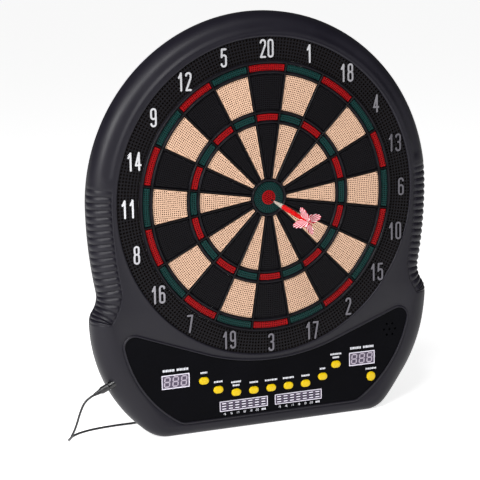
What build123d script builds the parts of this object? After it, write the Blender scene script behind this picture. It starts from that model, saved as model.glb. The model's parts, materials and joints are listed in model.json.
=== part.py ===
from build123d import *
import math
import os

# Electronic dartboard with a moulded housing, in millimetres. The front faces -Y, +Z is up and the
# origin is the middle of the housing's base, halfway through its depth.

# Overall size: the height is the board's centre height plus half the width
WIDTH = 480.0
BOARD_Z = 305.0
DEPTH = 37.0

# Housing outline, measured from the board's centre
RIM_R = WIDTH / 2
FLANK_R = 572.0
FLANK_TURN = 10.9
WAIST_R = 32.0
WAIST_TURN = 35.9
SHOULDER_R = 24.8
FOOT_INSET = 95.5
CORNER_R = 45.0

# Depths behind the crest of the web, which is the foremost plane
FRONT = -DEPTH / 2
BACK = DEPTH / 2
BEZEL_DROP = 2.5
WALL = 2.5
EDGE_R = 14.0
COVER_T = 3.0
COVER_INSET = 1.2
FACE = FRONT + BEZEL_DROP
INSIDE = FACE + WALL
COVER_Y = BACK - COVER_T
PLAY = 0.1

# Scoring area: radii of the web's rings, from the bull outwards
WEB_RINGS = [23.0, 98.3, 111.6, 162.2, 175.6]
NUMBERS = [20, 1, 18, 4, 13, 6, 10, 15, 2, 17, 3, 19, 7, 16, 8, 11, 14, 9, 12, 5]
STEP = 360 / len(NUMBERS)
CREST_W = 1.5
CREST_H = 1.2
WEB_W = 3.4
RING_WEB_W = 4.6
WEB_H = 4.0
SEGMENT_GAP = 0.25
SEGMENT_DROP = 1.8
SEGMENT_BACK = 8.0
TRAVEL = 1.0
LIP = 0.5
LIP_T = 1.2
LIP_PLAY = 0.3
INNER_BULL_R = 8.6
BULL_GAP = 0.3
PUSH_PLAY = 0.2

# Number ring, flange and the stack behind the segments
RING_R = 207.5
RING_PLAY = 0.3
RING_DROP = 3.5
RING_T = 3.0
FLANGE_W = 4.0
FLANGE_T = 1.2
SPIDER_RIM = 178.0
SPIDER_SEAT = 182.0
SEAT_T = 2.6
MEMBRANE_T = 0.4
FOAM_T = 4.9
BACKING_T = 3.0
BACKING_R = 205.0
STACK_BOSS_R = 196.0
STACK_SCREWS = 10
POST_R = 150.0
POST_COUNT = 8
NUMERAL_R = 193.0
NUMERAL_H = 24.0
NUMERAL_W = 8.6
NUMERAL_PITCH = 10.6
STROKE = 2.5
NUMERAL_T = 2.3

# Screws
SCREW_D = 3.0
SCREW_HEAD_D = 5.6
SCREW_HEAD_T = 2.0
BOSS_D = 8.0
BORE_PLAY = 0.1

# Control panel, measured from the board's centre
PANEL_DROP = 216.5
PANEL_TOP_R = 276.7
PANEL_ARC_X = 95.0
PANEL_SIDE = 34.0
PANEL_BASE = 17.5
PANEL_CORNER_R = 13.0
PANEL_FOOT_R = 20.0
BEAD_W = 2.0
BEAD_H = 0.9
LENS_DROP = 1.0
LENS_GAP = 0.3
LENS_FLANGE = 3.0
LENS_T = 1.5
BUTTON_W = 13.6
BUTTON_H = 9.6
BUTTON_PROUD = 2.0
BUTTON_GAP = 0.4
BUTTON_LIP = 1.4
BUTTON_LIP_T = 1.2
START_D = 13.0
BUTTONS = {
    "game": (-95.3, 70.3),
    "option": (-75.4, 55.9),
    "player": (-50.2, 49.4),
    "double": (-25.0, 49.4),
    "match": (0.0, 49.4),
    "handicap": (25.0, 49.4),
    "sound": (50.2, 49.4),
    "miss": (75.4, 55.9),
    "team": (95.3, 70.3),
}
START_AT = (147.8, 47.7)
DIGITS_X = 134.5
DIGITS_Z = 74.2
DIGITS_W = 39.0
DIGITS_H = 19.0
CRICKET_X = 39.5
CRICKET_Z = 32.2
CRICKET_W = 69.0
CRICKET_H = 14.2
WINDOW_GAP = 0.2
WINDOW_DROP = 0.3
SPEAKER_AT = (176.5, 110.1)
SPEAKER_PITCH = 8.5
SPEAKER_HOLE_D = 3.2
SPEAKER_D = 34.0
KEYPAD_T = 1.0
BOARD_T = 1.6
BOARD_W = 312.0
BOARD_TOP = 88.0
BOARD_LOW = 21.0
LENS_POSTS = [(-116, 48), (-116, 26), (0, 66), (116, 26), (116, 48)]
LENS_POST_D = 6.0

# Wall hangers in the rear cover
HANGER_SPAN = 200.0
HANGER_Z = BOARD_Z + 95.0
HANGER_D = 9.0
HANGER_SLOT_W = 4.6
HANGER_SLOT_L = 12.0

# Power lead
JACK_TURN = 24.6
JACK_Y = -4.5
JACK_D = 10.4
JACK_DEPTH = 14.0
PLUG_D = 9.4
PLUG_L = 12.0
RELIEF_L = 10.0
RELIEF_D = 4.4
CORD_D = 3.0
COIL_AT = (-88.0, 89.8)
COIL_IN = 11.0
COIL_OUT = 20.4
COIL_H = 12.9
ADAPTER_X = (-34.0, 36.0)
ADAPTER_Y = (50.0, 92.0)
ADAPTER_H = 28.0
ADAPTER_CORNER_R = 5.0
ADAPTER_EDGE_R = 2.5
ADAPTER_SEAM = 0.6
PIN_D = 4.0
PIN_L = 19.0
PIN_SPAN = 19.0

# Dart, along its own axis from the face of the web outwards
DART_AT = (4.5, -4.0)
DART_DROOP = 6.0
TIP_D = 2.2
TIP_IN = 5.0
TIP_OUT = 24.0
TIP_HOLE_D = 3.4
BARREL_L = 48.0
BARREL_D = 6.6
SHAFT_L = 34.0
SHAFT_D = 4.4
FLIGHT_FROM = 84.0
FLIGHT_L = 38.0
FLIGHT_R = 19.0
FLIGHT_T = 0.8
DART_PLAY = 0.05

os.makedirs("parts", exist_ok=True)


def save(block, name):
    """Labels a finished piece and writes it."""
    block.part.label = name
    export_step(block.part, "parts/" + name + ".step")


def board(y):
    """The plane at depth y with the board's centre as its origin, facing the player."""
    return Plane(origin=(0, y, BOARD_Z), x_dir=(1, 0, 0), z_dir=(0, -1, 0))


def base(y):
    """The plane at depth y with the middle of the base as its origin, facing the player."""
    return Plane(origin=(0, y, 0), x_dir=(1, 0, 0), z_dir=(0, -1, 0))


def polar(radius, degrees):
    """A point on the board, clockwise from the top."""
    turn = math.radians(degrees)
    return (radius * math.sin(turn), radius * math.cos(turn))


# Housing outline: a rim arc, a flank, a waist and a shoulder, then a lobe that ends in the foot's corner

def sin(degrees):
    return math.sin(math.radians(degrees))


def cos(degrees):
    return math.cos(math.radians(degrees))


SHOULDER_Z = -(
    FLANK_R * sin(FLANK_TURN)
    + WAIST_R * (sin(FLANK_TURN) + sin(WAIST_TURN))
    + SHOULDER_R * sin(WAIST_TURN)
)
SHOULDER_X = (
    RIM_R
    - FLANK_R * (1 - cos(FLANK_TURN))
    + WAIST_R * (cos(FLANK_TURN) - cos(WAIST_TURN))
    + SHOULDER_R * (1 - cos(WAIST_TURN))
)
WAIST_X = RIM_R - (FLANK_R + WAIST_R) * (1 - cos(FLANK_TURN))
WAIST_Z = -(FLANK_R + WAIST_R) * sin(FLANK_TURN)
FOOT_X = RIM_R - FOOT_INSET
LOBE_ACROSS = SHOULDER_X - FOOT_X
LOBE_DOWN = BOARD_Z - CORNER_R + SHOULDER_Z
LOBE_R = (LOBE_ACROSS**2 + LOBE_DOWN**2 - CORNER_R**2) / (2 * (LOBE_ACROSS - CORNER_R))
LOBE_X = SHOULDER_X - LOBE_R
LOBE_TURN = math.degrees(math.asin(LOBE_DOWN / (LOBE_R - CORNER_R)))
REACH = 2 * (BOARD_Z + RIM_R)

with BuildSketch() as outline:
    with BuildLine():
        rim = CenterArc((0, 0), RIM_R, 90, -90)
        flank = JernArc(rim @ 1, (0, -1), FLANK_R, -FLANK_TURN)
        waist = JernArc(flank @ 1, flank % 1, WAIST_R, FLANK_TURN + WAIST_TURN)
        shoulder = JernArc(waist @ 1, waist % 1, SHOULDER_R, -WAIST_TURN)
        lobe = JernArc(shoulder @ 1, (0, -1), LOBE_R, -LOBE_TURN)
        corner = JernArc(lobe @ 1, lobe % 1, CORNER_R, -(90 - LOBE_TURN))
        Line(corner @ 1, (0, -BOARD_Z))
        mirror(about=Plane.YZ)
    make_face()


def lobe_point(inset, degrees, side):
    """A point inside the lobe's edge, at an angle below its centre."""
    reach = LOBE_R - inset
    return (side * (LOBE_X + reach * cos(degrees)), SHOULDER_Z - reach * sin(degrees))


def foot_point(inset, degrees, side):
    """A point inside the foot corner's edge, at an angle below its centre."""
    reach = CORNER_R - inset
    return (side * (FOOT_X + reach * cos(degrees)), CORNER_R - BOARD_Z - reach * sin(degrees))


# Panel outline: sides that follow the lobes, a straight foot and a shallow arch under the number ring
ARC_DROP = PANEL_TOP_R - math.sqrt(PANEL_TOP_R**2 - PANEL_ARC_X**2)
SLOPE = PANEL_ARC_X / (PANEL_TOP_R - ARC_DROP)
ARCH_Z = -PANEL_DROP + ARC_DROP
END_Z = ARCH_Z + SLOPE * (REACH - PANEL_ARC_X)

with BuildSketch() as arch:
    with BuildLine():
        Line((-REACH, END_Z), (-PANEL_ARC_X, ARCH_Z))
        ThreePointArc((-PANEL_ARC_X, ARCH_Z), (0, -PANEL_DROP), (PANEL_ARC_X, ARCH_Z))
        Line((PANEL_ARC_X, ARCH_Z), (REACH, END_Z))
        Polyline(
            (REACH, END_Z),
            (REACH, PANEL_BASE - BOARD_Z),
            (-REACH, PANEL_BASE - BOARD_Z),
            (-REACH, END_Z),
        )
    make_face()


def side_region(side):
    """Everything on the inner side of one lobe's inset edge."""
    with BuildSketch() as region:
        with Locations((side * LOBE_X, SHOULDER_Z)):
            Circle(LOBE_R - PANEL_SIDE)
        with Locations((side * (LOBE_X - REACH / 2), SHOULDER_Z)):
            Rectangle(REACH, 2 * (LOBE_R - PANEL_SIDE))
    return region.sketch


with BuildSketch() as panel_outline:
    add(side_region(1))
    add(side_region(-1), mode=Mode.INTERSECT)
    add(arch.sketch, mode=Mode.INTERSECT)
    corners = panel_outline.vertices().sort_by(lambda v: abs(v.X))
    fillet(corners[-2:], PANEL_CORNER_R)
    feet = panel_outline.vertices().sort_by(lambda v: v.Y + abs(v.X) / REACH)[:2]
    fillet(feet, PANEL_FOOT_R)


# Depths of the stack, front to back
WEB_BACK = FRONT + WEB_H
SEGMENT_Y = FRONT + SEGMENT_DROP
SEGMENT_REAR = FRONT + SEGMENT_BACK
LIP_Y = WEB_BACK + LIP_PLAY
MEMBRANE_Y = SEGMENT_REAR + TRAVEL + PUSH_PLAY
FOAM_Y = MEMBRANE_Y + MEMBRANE_T
BACKING_Y = FOAM_Y + FOAM_T
STACK_END = BACKING_Y + BACKING_T
RING_Y = FRONT + RING_DROP
RING_BACK = RING_Y + RING_T
FLANGE_Y = INSIDE + PLAY
SEAT_Y = MEMBRANE_Y - SEAT_T
LENS_Y = FACE + LENS_DROP
LENS_SEAT = INSIDE + PLAY
LENS_BACK = LENS_SEAT + LENS_T
BUTTON_Y = LENS_Y - BUTTON_PROUD
BUTTON_LIP_Y = LENS_BACK + PUSH_PLAY
BUTTON_REAR = BUTTON_LIP_Y + BUTTON_LIP_T
KEYPAD_Y = BUTTON_REAR + TRAVEL + PUSH_PLAY
BOARD_Y = KEYPAD_Y + KEYPAD_T
DISPLAY_Y = LENS_Y + WINDOW_DROP

# Cover screws: round the rim, at the waist, on the lobes and in the foot's corners
SCREW_INSET = 13.0
RIM_SCREW_TURNS = (0, 40, 80, 280, 320)
LOBE_SCREW_TURN = 8
FOOT_SCREW_TURN = 60
BOSS_SKIN = 3.0
COVER_SCREWS = [polar(RIM_R - SCREW_INSET, turn) for turn in RIM_SCREW_TURNS]
for side in (1, -1):
    COVER_SCREWS.append((side * (WAIST_X - SCREW_INSET), WAIST_Z))
    COVER_SCREWS.append(lobe_point(SCREW_INSET, LOBE_SCREW_TURN, side))
    COVER_SCREWS.append(foot_point(SCREW_INSET, FOOT_SCREW_TURN, side))
BOSS_FROM = FACE + BOSS_SKIN

JACK_WALL = lobe_point(0, JACK_TURN, -1)
JACK_OUT = (-cos(JACK_TURN), 0, -sin(JACK_TURN))


def jack_plane(out):
    """The plane square to the jack's axis, at a distance outside the housing's wall."""
    centre = Vector(JACK_WALL[0], JACK_Y, BOARD_Z + JACK_WALL[1]) + Vector(*JACK_OUT) * out
    return Plane(origin=centre, x_dir=(0, 1, 0), z_dir=JACK_OUT)


# Front housing ---------------------------------------------------------------------------------
with BuildPart() as cavity:
    with BuildSketch(board(COVER_Y)):
        add(outline.sketch)
        offset(amount=-WALL, mode=Mode.REPLACE)
    extrude(amount=COVER_Y - INSIDE)
    fillet(cavity.faces().sort_by(Axis.Y)[0].edges(), EDGE_R - WALL)

with BuildPart() as front_housing:
    with BuildSketch(board(COVER_Y)):
        add(outline.sketch)
    extrude(amount=COVER_Y - FACE)
    fillet(front_housing.faces().sort_by(Axis.Y)[0].edges(), EDGE_R)
    add(cavity.part, mode=Mode.SUBTRACT)
    with BuildSketch(board(COVER_Y)):
        with Locations(*COVER_SCREWS):
            Circle(BOSS_D / 2)
    extrude(amount=COVER_Y - BOSS_FROM)
    with BuildSketch(board(COVER_Y)):
        with Locations(*COVER_SCREWS):
            Circle(SCREW_D / 2 + BORE_PLAY)
    extrude(amount=COVER_Y - BOSS_FROM - WALL, mode=Mode.SUBTRACT)
    with BuildSketch(board(FACE)):
        add(panel_outline.sketch)
        offset(amount=BEAD_W, mode=Mode.REPLACE)
    extrude(amount=BEAD_H)
    with BuildSketch(board(INSIDE + PLAY)):
        Circle(RING_R)
        add(panel_outline.sketch)
    extrude(amount=INSIDE + PLAY - FRONT, mode=Mode.SUBTRACT)
    with BuildSketch(jack_plane(-WALL - JACK_DEPTH)):
        Circle(JACK_D / 2 + PLAY)
    extrude(amount=WALL + JACK_DEPTH + BEAD_W, mode=Mode.SUBTRACT)
save(front_housing, "front_housing")

# Rear cover ------------------------------------------------------------------------------------
HANGERS = [(-HANGER_SPAN / 2, HANGER_Z - BOARD_Z), (HANGER_SPAN / 2, HANGER_Z - BOARD_Z)]
with BuildPart() as rear_cover:
    with BuildSketch(board(BACK)):
        add(outline.sketch)
        offset(amount=-COVER_INSET, mode=Mode.REPLACE)
    extrude(amount=COVER_T)
    with BuildSketch(board(COVER_Y)):
        with PolarLocations(POST_R, POST_COUNT, start_angle=180 / POST_COUNT):
            Circle(BOSS_D / 2)
    extrude(amount=COVER_Y - STACK_END)
    with BuildSketch(board(BACK)):
        with Locations(*COVER_SCREWS):
            Circle(SCREW_D / 2 + BORE_PLAY)
        with Locations(*HANGERS):
            Circle(HANGER_D / 2)
        with Locations(*[(x, z + HANGER_SLOT_L / 2) for x, z in HANGERS]):
            Rectangle(HANGER_SLOT_W, HANGER_SLOT_L)
        with Locations(*[(x, z + HANGER_SLOT_L) for x, z in HANGERS]):
            Circle(HANGER_SLOT_W / 2)
    extrude(amount=COVER_T, mode=Mode.SUBTRACT)
    with BuildSketch(board(BACK)):
        with Locations(*COVER_SCREWS):
            Circle(SCREW_HEAD_D / 2 + BORE_PLAY)
    extrude(amount=SCREW_HEAD_T, mode=Mode.SUBTRACT)
save(rear_cover, "rear_cover")

# Number ring -----------------------------------------------------------------------------------
STACK_HOLES = PolarLocations(STACK_BOSS_R, STACK_SCREWS, start_angle=180 / STACK_SCREWS + 90)
with BuildPart() as number_ring:
    with BuildSketch(board(RING_BACK)):
        Circle(RING_R - RING_PLAY)
        Circle(SPIDER_RIM + RING_PLAY, mode=Mode.SUBTRACT)
    extrude(amount=RING_T)
    with BuildSketch(board(FLANGE_Y + FLANGE_T)):
        Circle(RING_R + FLANGE_W)
        Circle(RING_R - FLANGE_W, mode=Mode.SUBTRACT)
    extrude(amount=FLANGE_T)
    with BuildSketch(board(BACKING_Y)):
        with STACK_HOLES:
            Circle(BOSS_D / 2)
    extrude(amount=BACKING_Y - RING_BACK)
    with BuildSketch(board(BACKING_Y)):
        with STACK_HOLES:
            Circle(SCREW_D / 2 + BORE_PLAY)
    extrude(amount=BACKING_Y - RING_BACK, mode=Mode.SUBTRACT)
save(number_ring, "number_ring")


# Numerals: each digit is a set of round-ended strokes in a box one wide and one high ---------------
CAP = 0.14


def bowl(low, high, side_from, side_to, left=0.0, right=1.0):
    """A closed loop of a digit: two rounded ends joined by two upright sides."""
    middle = (left + right) / 2
    return [
        ("arc", (left, side_to), (middle, high), (right, side_to)),
        ("line", (right, side_to), (right, side_from)),
        ("arc", (right, side_from), (middle, low), (left, side_from)),
        ("line", (left, side_from), (left, side_to)),
    ]


STROKES = {
    "0": bowl(0, 1, CAP, 1 - CAP),
    "1": [("line", (0.15, 0.74), (0.62, 1)), ("line", (0.62, 1), (0.62, 0))],
    "2": [
        ("arc", (0, 1 - CAP), (0.5, 1), (1, 1 - CAP)),
        ("line", (1, 1 - CAP), (1, 0.7)),
        ("line", (1, 0.7), (0, 0)),
        ("line", (0, 0), (1, 0)),
    ],
    "3": [
        ("arc", (0, 1 - CAP), (0.5, 1), (1, 1 - CAP)),
        ("line", (1, 1 - CAP), (1, 0.66)),
        ("arc", (1, 0.66), (0.86, 0.56), (0.5, 0.53)),
        ("arc", (0.5, 0.53), (0.86, 0.49), (1, 0.39)),
        ("line", (1, 0.39), (1, CAP)),
        ("arc", (1, CAP), (0.5, 0), (0, CAP)),
    ],
    "4": [
        ("line", (0.72, 0), (0.72, 1)),
        ("line", (0.72, 1), (0, 0.28)),
        ("line", (0, 0.28), (1.05, 0.28)),
    ],
    "5": [
        ("line", (0.95, 1), (0.1, 1)),
        ("line", (0.1, 1), (0.04, 0.55)),
        ("arc", (0.04, 0.55), (0.56, 0.65), (1, 0.48)),
        ("line", (1, 0.48), (1, CAP)),
        ("arc", (1, CAP), (0.5, 0), (0, CAP)),
    ],
    "6": [
        ("arc", (1, 1 - CAP), (0.5, 1), (0, 1 - CAP)),
        ("line", (0, 1 - CAP), (0, 0.44)),
        *bowl(0, 0.58, CAP, 0.44),
    ],
    "7": [("line", (0, 1), (1, 1)), ("line", (1, 1), (0.35, 0))],
    "8": [*bowl(0, 0.54, CAP, 0.4), *bowl(0.54, 1, 0.68, 1 - CAP, 0.05, 0.95)],
    "9": [
        ("arc", (0, CAP), (0.5, 0), (1, CAP)),
        ("line", (1, CAP), (1, 0.56)),
        *bowl(0.42, 1, 0.56, 1 - CAP),
    ],
}


def numeral(text, centre):
    """The strokes of a number, upright, as one face on the current sketch."""
    run = NUMERAL_PITCH * (len(text) - 1)
    across = NUMERAL_W - STROKE
    tall = NUMERAL_H - STROKE
    for place, digit in enumerate(text):
        left = centre[0] - run / 2 + place * NUMERAL_PITCH - across / 2
        low = centre[1] - tall / 2
        ends = set()
        for kind, *points in STROKES[digit]:
            at = [(left + x * across, low + z * tall) for x, z in points]
            edge = Edge.make_line(*at) if kind == "line" else Edge.make_three_point_arc(*at)
            trace(edge, STROKE)
            ends.update([at[0], at[-1]])
        with Locations(*sorted(ends)):
            Circle(STROKE / 2)


with BuildPart() as numerals:
    with BuildSketch(board(RING_Y)):
        for index, number in enumerate(NUMBERS):
            numeral(str(number), polar(NUMERAL_R, index * STEP))
    extrude(amount=NUMERAL_T)
save(numerals, "numerals")

# Spider: the web in front, and the rim and seat that hold it behind the number ring ----------------


def web(ring_width, width):
    """The web's rings and spokes at one width each, on the current sketch."""
    for radius in reversed(WEB_RINGS):
        Circle(radius + ring_width / 2)
        Circle(radius - ring_width / 2, mode=Mode.SUBTRACT)
    length = WEB_RINGS[-1] - WEB_RINGS[0]
    with PolarLocations(WEB_RINGS[0] + length / 2, len(NUMBERS), start_angle=STEP / 2):
        Rectangle(length, width)


with BuildPart() as spider:
    with BuildSketch(board(WEB_BACK)):
        web(RING_WEB_W, WEB_W)
    extrude(amount=WEB_H - CREST_H)
    with BuildSketch(board(FRONT + CREST_H)):
        web(CREST_W, CREST_W)
    extrude(amount=CREST_H)
    with BuildSketch(board(MEMBRANE_Y)):
        Circle(SPIDER_RIM)
        Circle(WEB_RINGS[-1] - CREST_W + LIP, mode=Mode.SUBTRACT)
    extrude(amount=MEMBRANE_Y - WEB_BACK)
    with BuildSketch(board(MEMBRANE_Y)):
        Circle(SPIDER_SEAT)
        Circle(SPIDER_RIM, mode=Mode.SUBTRACT)
    extrude(amount=SEAT_T)
save(spider, "spider")


# Segments: four pushers under each number, each with a lip that stays behind the web ---------------
SPOKE_EDGE = WEB_W / 2 + SEGMENT_GAP
RING_EDGE = RING_WEB_W / 2 + SEGMENT_GAP


def number_plane(index, y):
    """The board's plane turned so that its own up points at one number."""
    turn = index * STEP
    return Plane(origin=(0, y, BOARD_Z), x_dir=(cos(turn), 0, -sin(turn)), z_dir=(0, -1, 0))


def cells(grow):
    """The four cells under one number, grown by a distance, on the current sketch."""
    half = STEP / 2
    edge = RING_EDGE - grow
    apex = (SPOKE_EDGE - grow) / sin(half)
    far = 2 * WEB_RINGS[-1]
    for inner, outer in zip(WEB_RINGS, WEB_RINGS[1:]):
        with BuildSketch(mode=Mode.PRIVATE) as cell:
            Circle(outer - edge)
            Circle(inner + edge, mode=Mode.SUBTRACT)
            with BuildSketch(mode=Mode.PRIVATE) as wedge:
                with BuildLine():
                    Polyline(
                        (0, apex),
                        (-far * sin(half), apex + far * cos(half)),
                        (far * sin(half), apex + far * cos(half)),
                        (0, apex),
                    )
                make_face()
            add(wedge.sketch, mode=Mode.INTERSECT)
        add(cell.sketch)


for index, number in enumerate(NUMBERS):
    with BuildPart() as segment:
        with BuildSketch(number_plane(index, SEGMENT_REAR)):
            cells(0)
        extrude(amount=SEGMENT_REAR - SEGMENT_Y)
        with BuildSketch(number_plane(index, LIP_Y + LIP_T)):
            cells(LIP)
        extrude(amount=LIP_T)
    save(segment, f"segment_{number:02d}")

# Bulls: the outer one is a stepped ring round the inner one
BULL_R = WEB_RINGS[0] - RING_EDGE
BULL_BORE = INNER_BULL_R + BULL_GAP
BULL_LIP_R = BULL_BORE + LIP
BULL_LIP_Y = LIP_Y + TRAVEL + PUSH_PLAY
DART_DIR = (0, -cos(DART_DROOP), -sin(DART_DROOP))
DART_FACE = Vector(DART_AT[0], SEGMENT_Y, BOARD_Z + DART_AT[1])


def dart_plane(out):
    """The plane square to the dart, at a distance from the face along its axis."""
    return Plane(origin=DART_FACE + Vector(*DART_DIR) * out, x_dir=(1, 0, 0), z_dir=DART_DIR)


with BuildPart() as outer_bull:
    with BuildSketch(board(SEGMENT_REAR)):
        Circle(BULL_R)
    extrude(amount=SEGMENT_REAR - SEGMENT_Y)
    with BuildSketch(board(LIP_Y + LIP_T)):
        Circle(BULL_R + LIP)
    extrude(amount=LIP_T)
    with BuildSketch(board(SEGMENT_REAR)):
        Circle(BULL_BORE)
    extrude(amount=SEGMENT_BACK, mode=Mode.SUBTRACT)
    with BuildSketch(board(SEGMENT_REAR)):
        Circle(BULL_LIP_R + BULL_GAP)
    extrude(amount=SEGMENT_REAR - LIP_Y, mode=Mode.SUBTRACT)
save(outer_bull, "outer_bull")

with BuildPart() as inner_bull:
    with BuildSketch(board(SEGMENT_REAR)):
        Circle(INNER_BULL_R)
    extrude(amount=SEGMENT_REAR - SEGMENT_Y)
    with BuildSketch(board(BULL_LIP_Y + LIP_T)):
        Circle(BULL_LIP_R)
    extrude(amount=LIP_T)
    with BuildSketch(dart_plane(-2 * SEGMENT_BACK)):
        Circle(TIP_HOLE_D / 2)
    extrude(amount=3 * SEGMENT_BACK, mode=Mode.SUBTRACT)
save(inner_bull, "inner_bull")

# Stack behind the segments ---------------------------------------------------------------------
TAIL_W = 30.0
TAIL_END = BOARD_TOP - 4.0
TAIL_FROM = BOARD_Z - SPIDER_SEAT / 2
with BuildPart() as matrix_membrane:
    with BuildSketch(board(FOAM_Y)):
        Circle(SPIDER_SEAT)
    extrude(amount=MEMBRANE_T)
    with BuildSketch(base(FOAM_Y)):
        with Locations((0, (TAIL_FROM + TAIL_END) / 2)):
            Rectangle(TAIL_W, TAIL_FROM - TAIL_END)
    extrude(amount=MEMBRANE_T)
save(matrix_membrane, "matrix_membrane")

with BuildPart() as foam_mat:
    with BuildSketch(board(BACKING_Y)):
        Circle(SPIDER_SEAT)
    extrude(amount=FOAM_T)
save(foam_mat, "foam_mat")

with BuildPart() as backing_plate:
    with BuildSketch(board(STACK_END)):
        Circle(BACKING_R)
        with STACK_HOLES:
            Circle(SCREW_D / 2 + BORE_PLAY, mode=Mode.SUBTRACT)
    extrude(amount=BACKING_T)
save(backing_plate, "backing_plate")

# Control panel ---------------------------------------------------------------------------------
DIGITS = [(-DIGITS_X, DIGITS_Z), (DIGITS_X, DIGITS_Z)]
CRICKETS = [(-CRICKET_X, CRICKET_Z), (CRICKET_X, CRICKET_Z)]
PITCH = SPEAKER_PITCH
SPEAKER_HOLES = [(SPEAKER_AT[0] + x * PITCH, SPEAKER_AT[1]) for x in (-1, 0, 1)]
SPEAKER_HOLES += [
    (SPEAKER_AT[0] + x * PITCH / 2, SPEAKER_AT[1] + z * PITCH * sin(60))
    for x in (-1, 1)
    for z in (-1, 1)
]

with BuildPart() as panel_lens:
    with BuildSketch(board(LENS_BACK)):
        add(panel_outline.sketch)
        offset(amount=LENS_FLANGE, mode=Mode.REPLACE)
    extrude(amount=LENS_T)
    with BuildSketch(board(LENS_SEAT)):
        add(panel_outline.sketch)
        offset(amount=-LENS_GAP, mode=Mode.REPLACE)
    extrude(amount=LENS_SEAT - LENS_Y)
    with BuildSketch(base(LENS_BACK)):
        with Locations(*BUTTONS.values()):
            SlotOverall(BUTTON_W + 2 * BUTTON_GAP, BUTTON_H + 2 * BUTTON_GAP)
        with Locations(START_AT):
            Circle(START_D / 2 + BUTTON_GAP)
        with Locations(*DIGITS):
            Rectangle(DIGITS_W, DIGITS_H)
        with Locations(*CRICKETS):
            Rectangle(CRICKET_W, CRICKET_H)
        with Locations(*SPEAKER_HOLES):
            Circle(SPEAKER_HOLE_D / 2)
    extrude(amount=LENS_BACK - FRONT, mode=Mode.SUBTRACT)
    with BuildSketch(base(BOARD_Y)):
        with Locations(*LENS_POSTS):
            Circle(LENS_POST_D / 2)
    extrude(amount=BOARD_Y - LENS_BACK)
    with BuildSketch(base(BOARD_Y)):
        with Locations(*LENS_POSTS):
            Circle(SCREW_D / 2 + BORE_PLAY)
    extrude(amount=BOARD_Y - LENS_BACK, mode=Mode.SUBTRACT)
save(panel_lens, "panel_lens")


def button(name, place, outline_at):
    """A button cap with a lip behind the lens. outline_at draws its outline grown by an amount."""
    with BuildPart() as cap:
        with BuildSketch(base(BUTTON_REAR)):
            with Locations(place):
                outline_at(0)
        extrude(amount=BUTTON_REAR - BUTTON_Y)
        fillet(cap.faces().sort_by(Axis.Y)[0].edges(), BUTTON_PROUD / 2)
        with BuildSketch(base(BUTTON_REAR)):
            with Locations(place):
                outline_at(BUTTON_LIP)
        extrude(amount=BUTTON_LIP_T)
    save(cap, "button_" + name)


def oval(grow):
    SlotOverall(BUTTON_W + 2 * grow, BUTTON_H + 2 * grow)


def disc(grow):
    Circle(START_D / 2 + grow)


for name, place in BUTTONS.items():
    button(name, place, oval)
button("start", START_AT, disc)

PAD_GROW = 1.2
KEYPAD_WEB = 5.0
with BuildPart() as keypad:
    with BuildSketch(base(BOARD_Y)):
        with Locations(*BUTTONS.values()):
            oval(PAD_GROW)
        with Locations(START_AT):
            disc(PAD_GROW)
        places = list(BUTTONS.values())
        for one, other in zip(places, places[1:]):
            trace(Edge.make_line(one, other), KEYPAD_WEB)
    extrude(amount=KEYPAD_T)
save(keypad, "keypad")

CHIP_SIZE = 12.0
CHIP_T = 1.6
CHIP_PLACES = [(-40, 54), (40, 54), (-130, 34)]
with BuildPart() as main_board:
    with BuildSketch(base(BOARD_Y + BOARD_T)):
        with Locations((0, (BOARD_TOP + BOARD_LOW) / 2)):
            Rectangle(BOARD_W, BOARD_TOP - BOARD_LOW)
        with Locations(*LENS_POSTS):
            Circle(SCREW_D / 2 + BORE_PLAY, mode=Mode.SUBTRACT)
    extrude(amount=BOARD_T)
    with BuildSketch(base(BOARD_Y + BOARD_T + CHIP_T)):
        with Locations(*CHIP_PLACES):
            Rectangle(CHIP_SIZE, CHIP_SIZE)
    extrude(amount=CHIP_T)
save(main_board, "main_board")

for name, places, wide, high in (
    ("digit_displays", DIGITS, DIGITS_W, DIGITS_H),
    ("cricket_displays", CRICKETS, CRICKET_W, CRICKET_H),
):
    with BuildPart() as module:
        with BuildSketch(base(BOARD_Y)):
            with Locations(*places):
                Rectangle(wide - 2 * WINDOW_GAP, high - 2 * WINDOW_GAP)
        extrude(amount=BOARD_Y - DISPLAY_Y)
    save(module, name)

# Speaker ---------------------------------------------------------------------------------------
SPEAKER_WALL = 2.5
SPEAKER_RING_H = 4.0
SPEAKER_PLATE_T = 1.2
MAGNET_D = 18.0
MAGNET_H = 8.0
CONE_T = 0.5
CONE_CAP_D = 9.0
SPEAKER_Y = LENS_BACK + PLAY
PLATE_Y = SPEAKER_Y + SPEAKER_RING_H
with BuildPart() as speaker_frame:
    with BuildSketch(base(PLATE_Y)):
        with Locations(SPEAKER_AT):
            Circle(SPEAKER_D / 2)
            Circle(SPEAKER_D / 2 - SPEAKER_WALL, mode=Mode.SUBTRACT)
    extrude(amount=SPEAKER_RING_H)
    with BuildSketch(base(PLATE_Y + SPEAKER_PLATE_T)):
        with Locations(SPEAKER_AT):
            Circle(SPEAKER_D / 2)
    extrude(amount=SPEAKER_PLATE_T)
    with BuildSketch(base(PLATE_Y + SPEAKER_PLATE_T + MAGNET_H)):
        with Locations(SPEAKER_AT):
            Circle(MAGNET_D / 2)
    extrude(amount=MAGNET_H)
save(speaker_frame, "speaker_frame")

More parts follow.
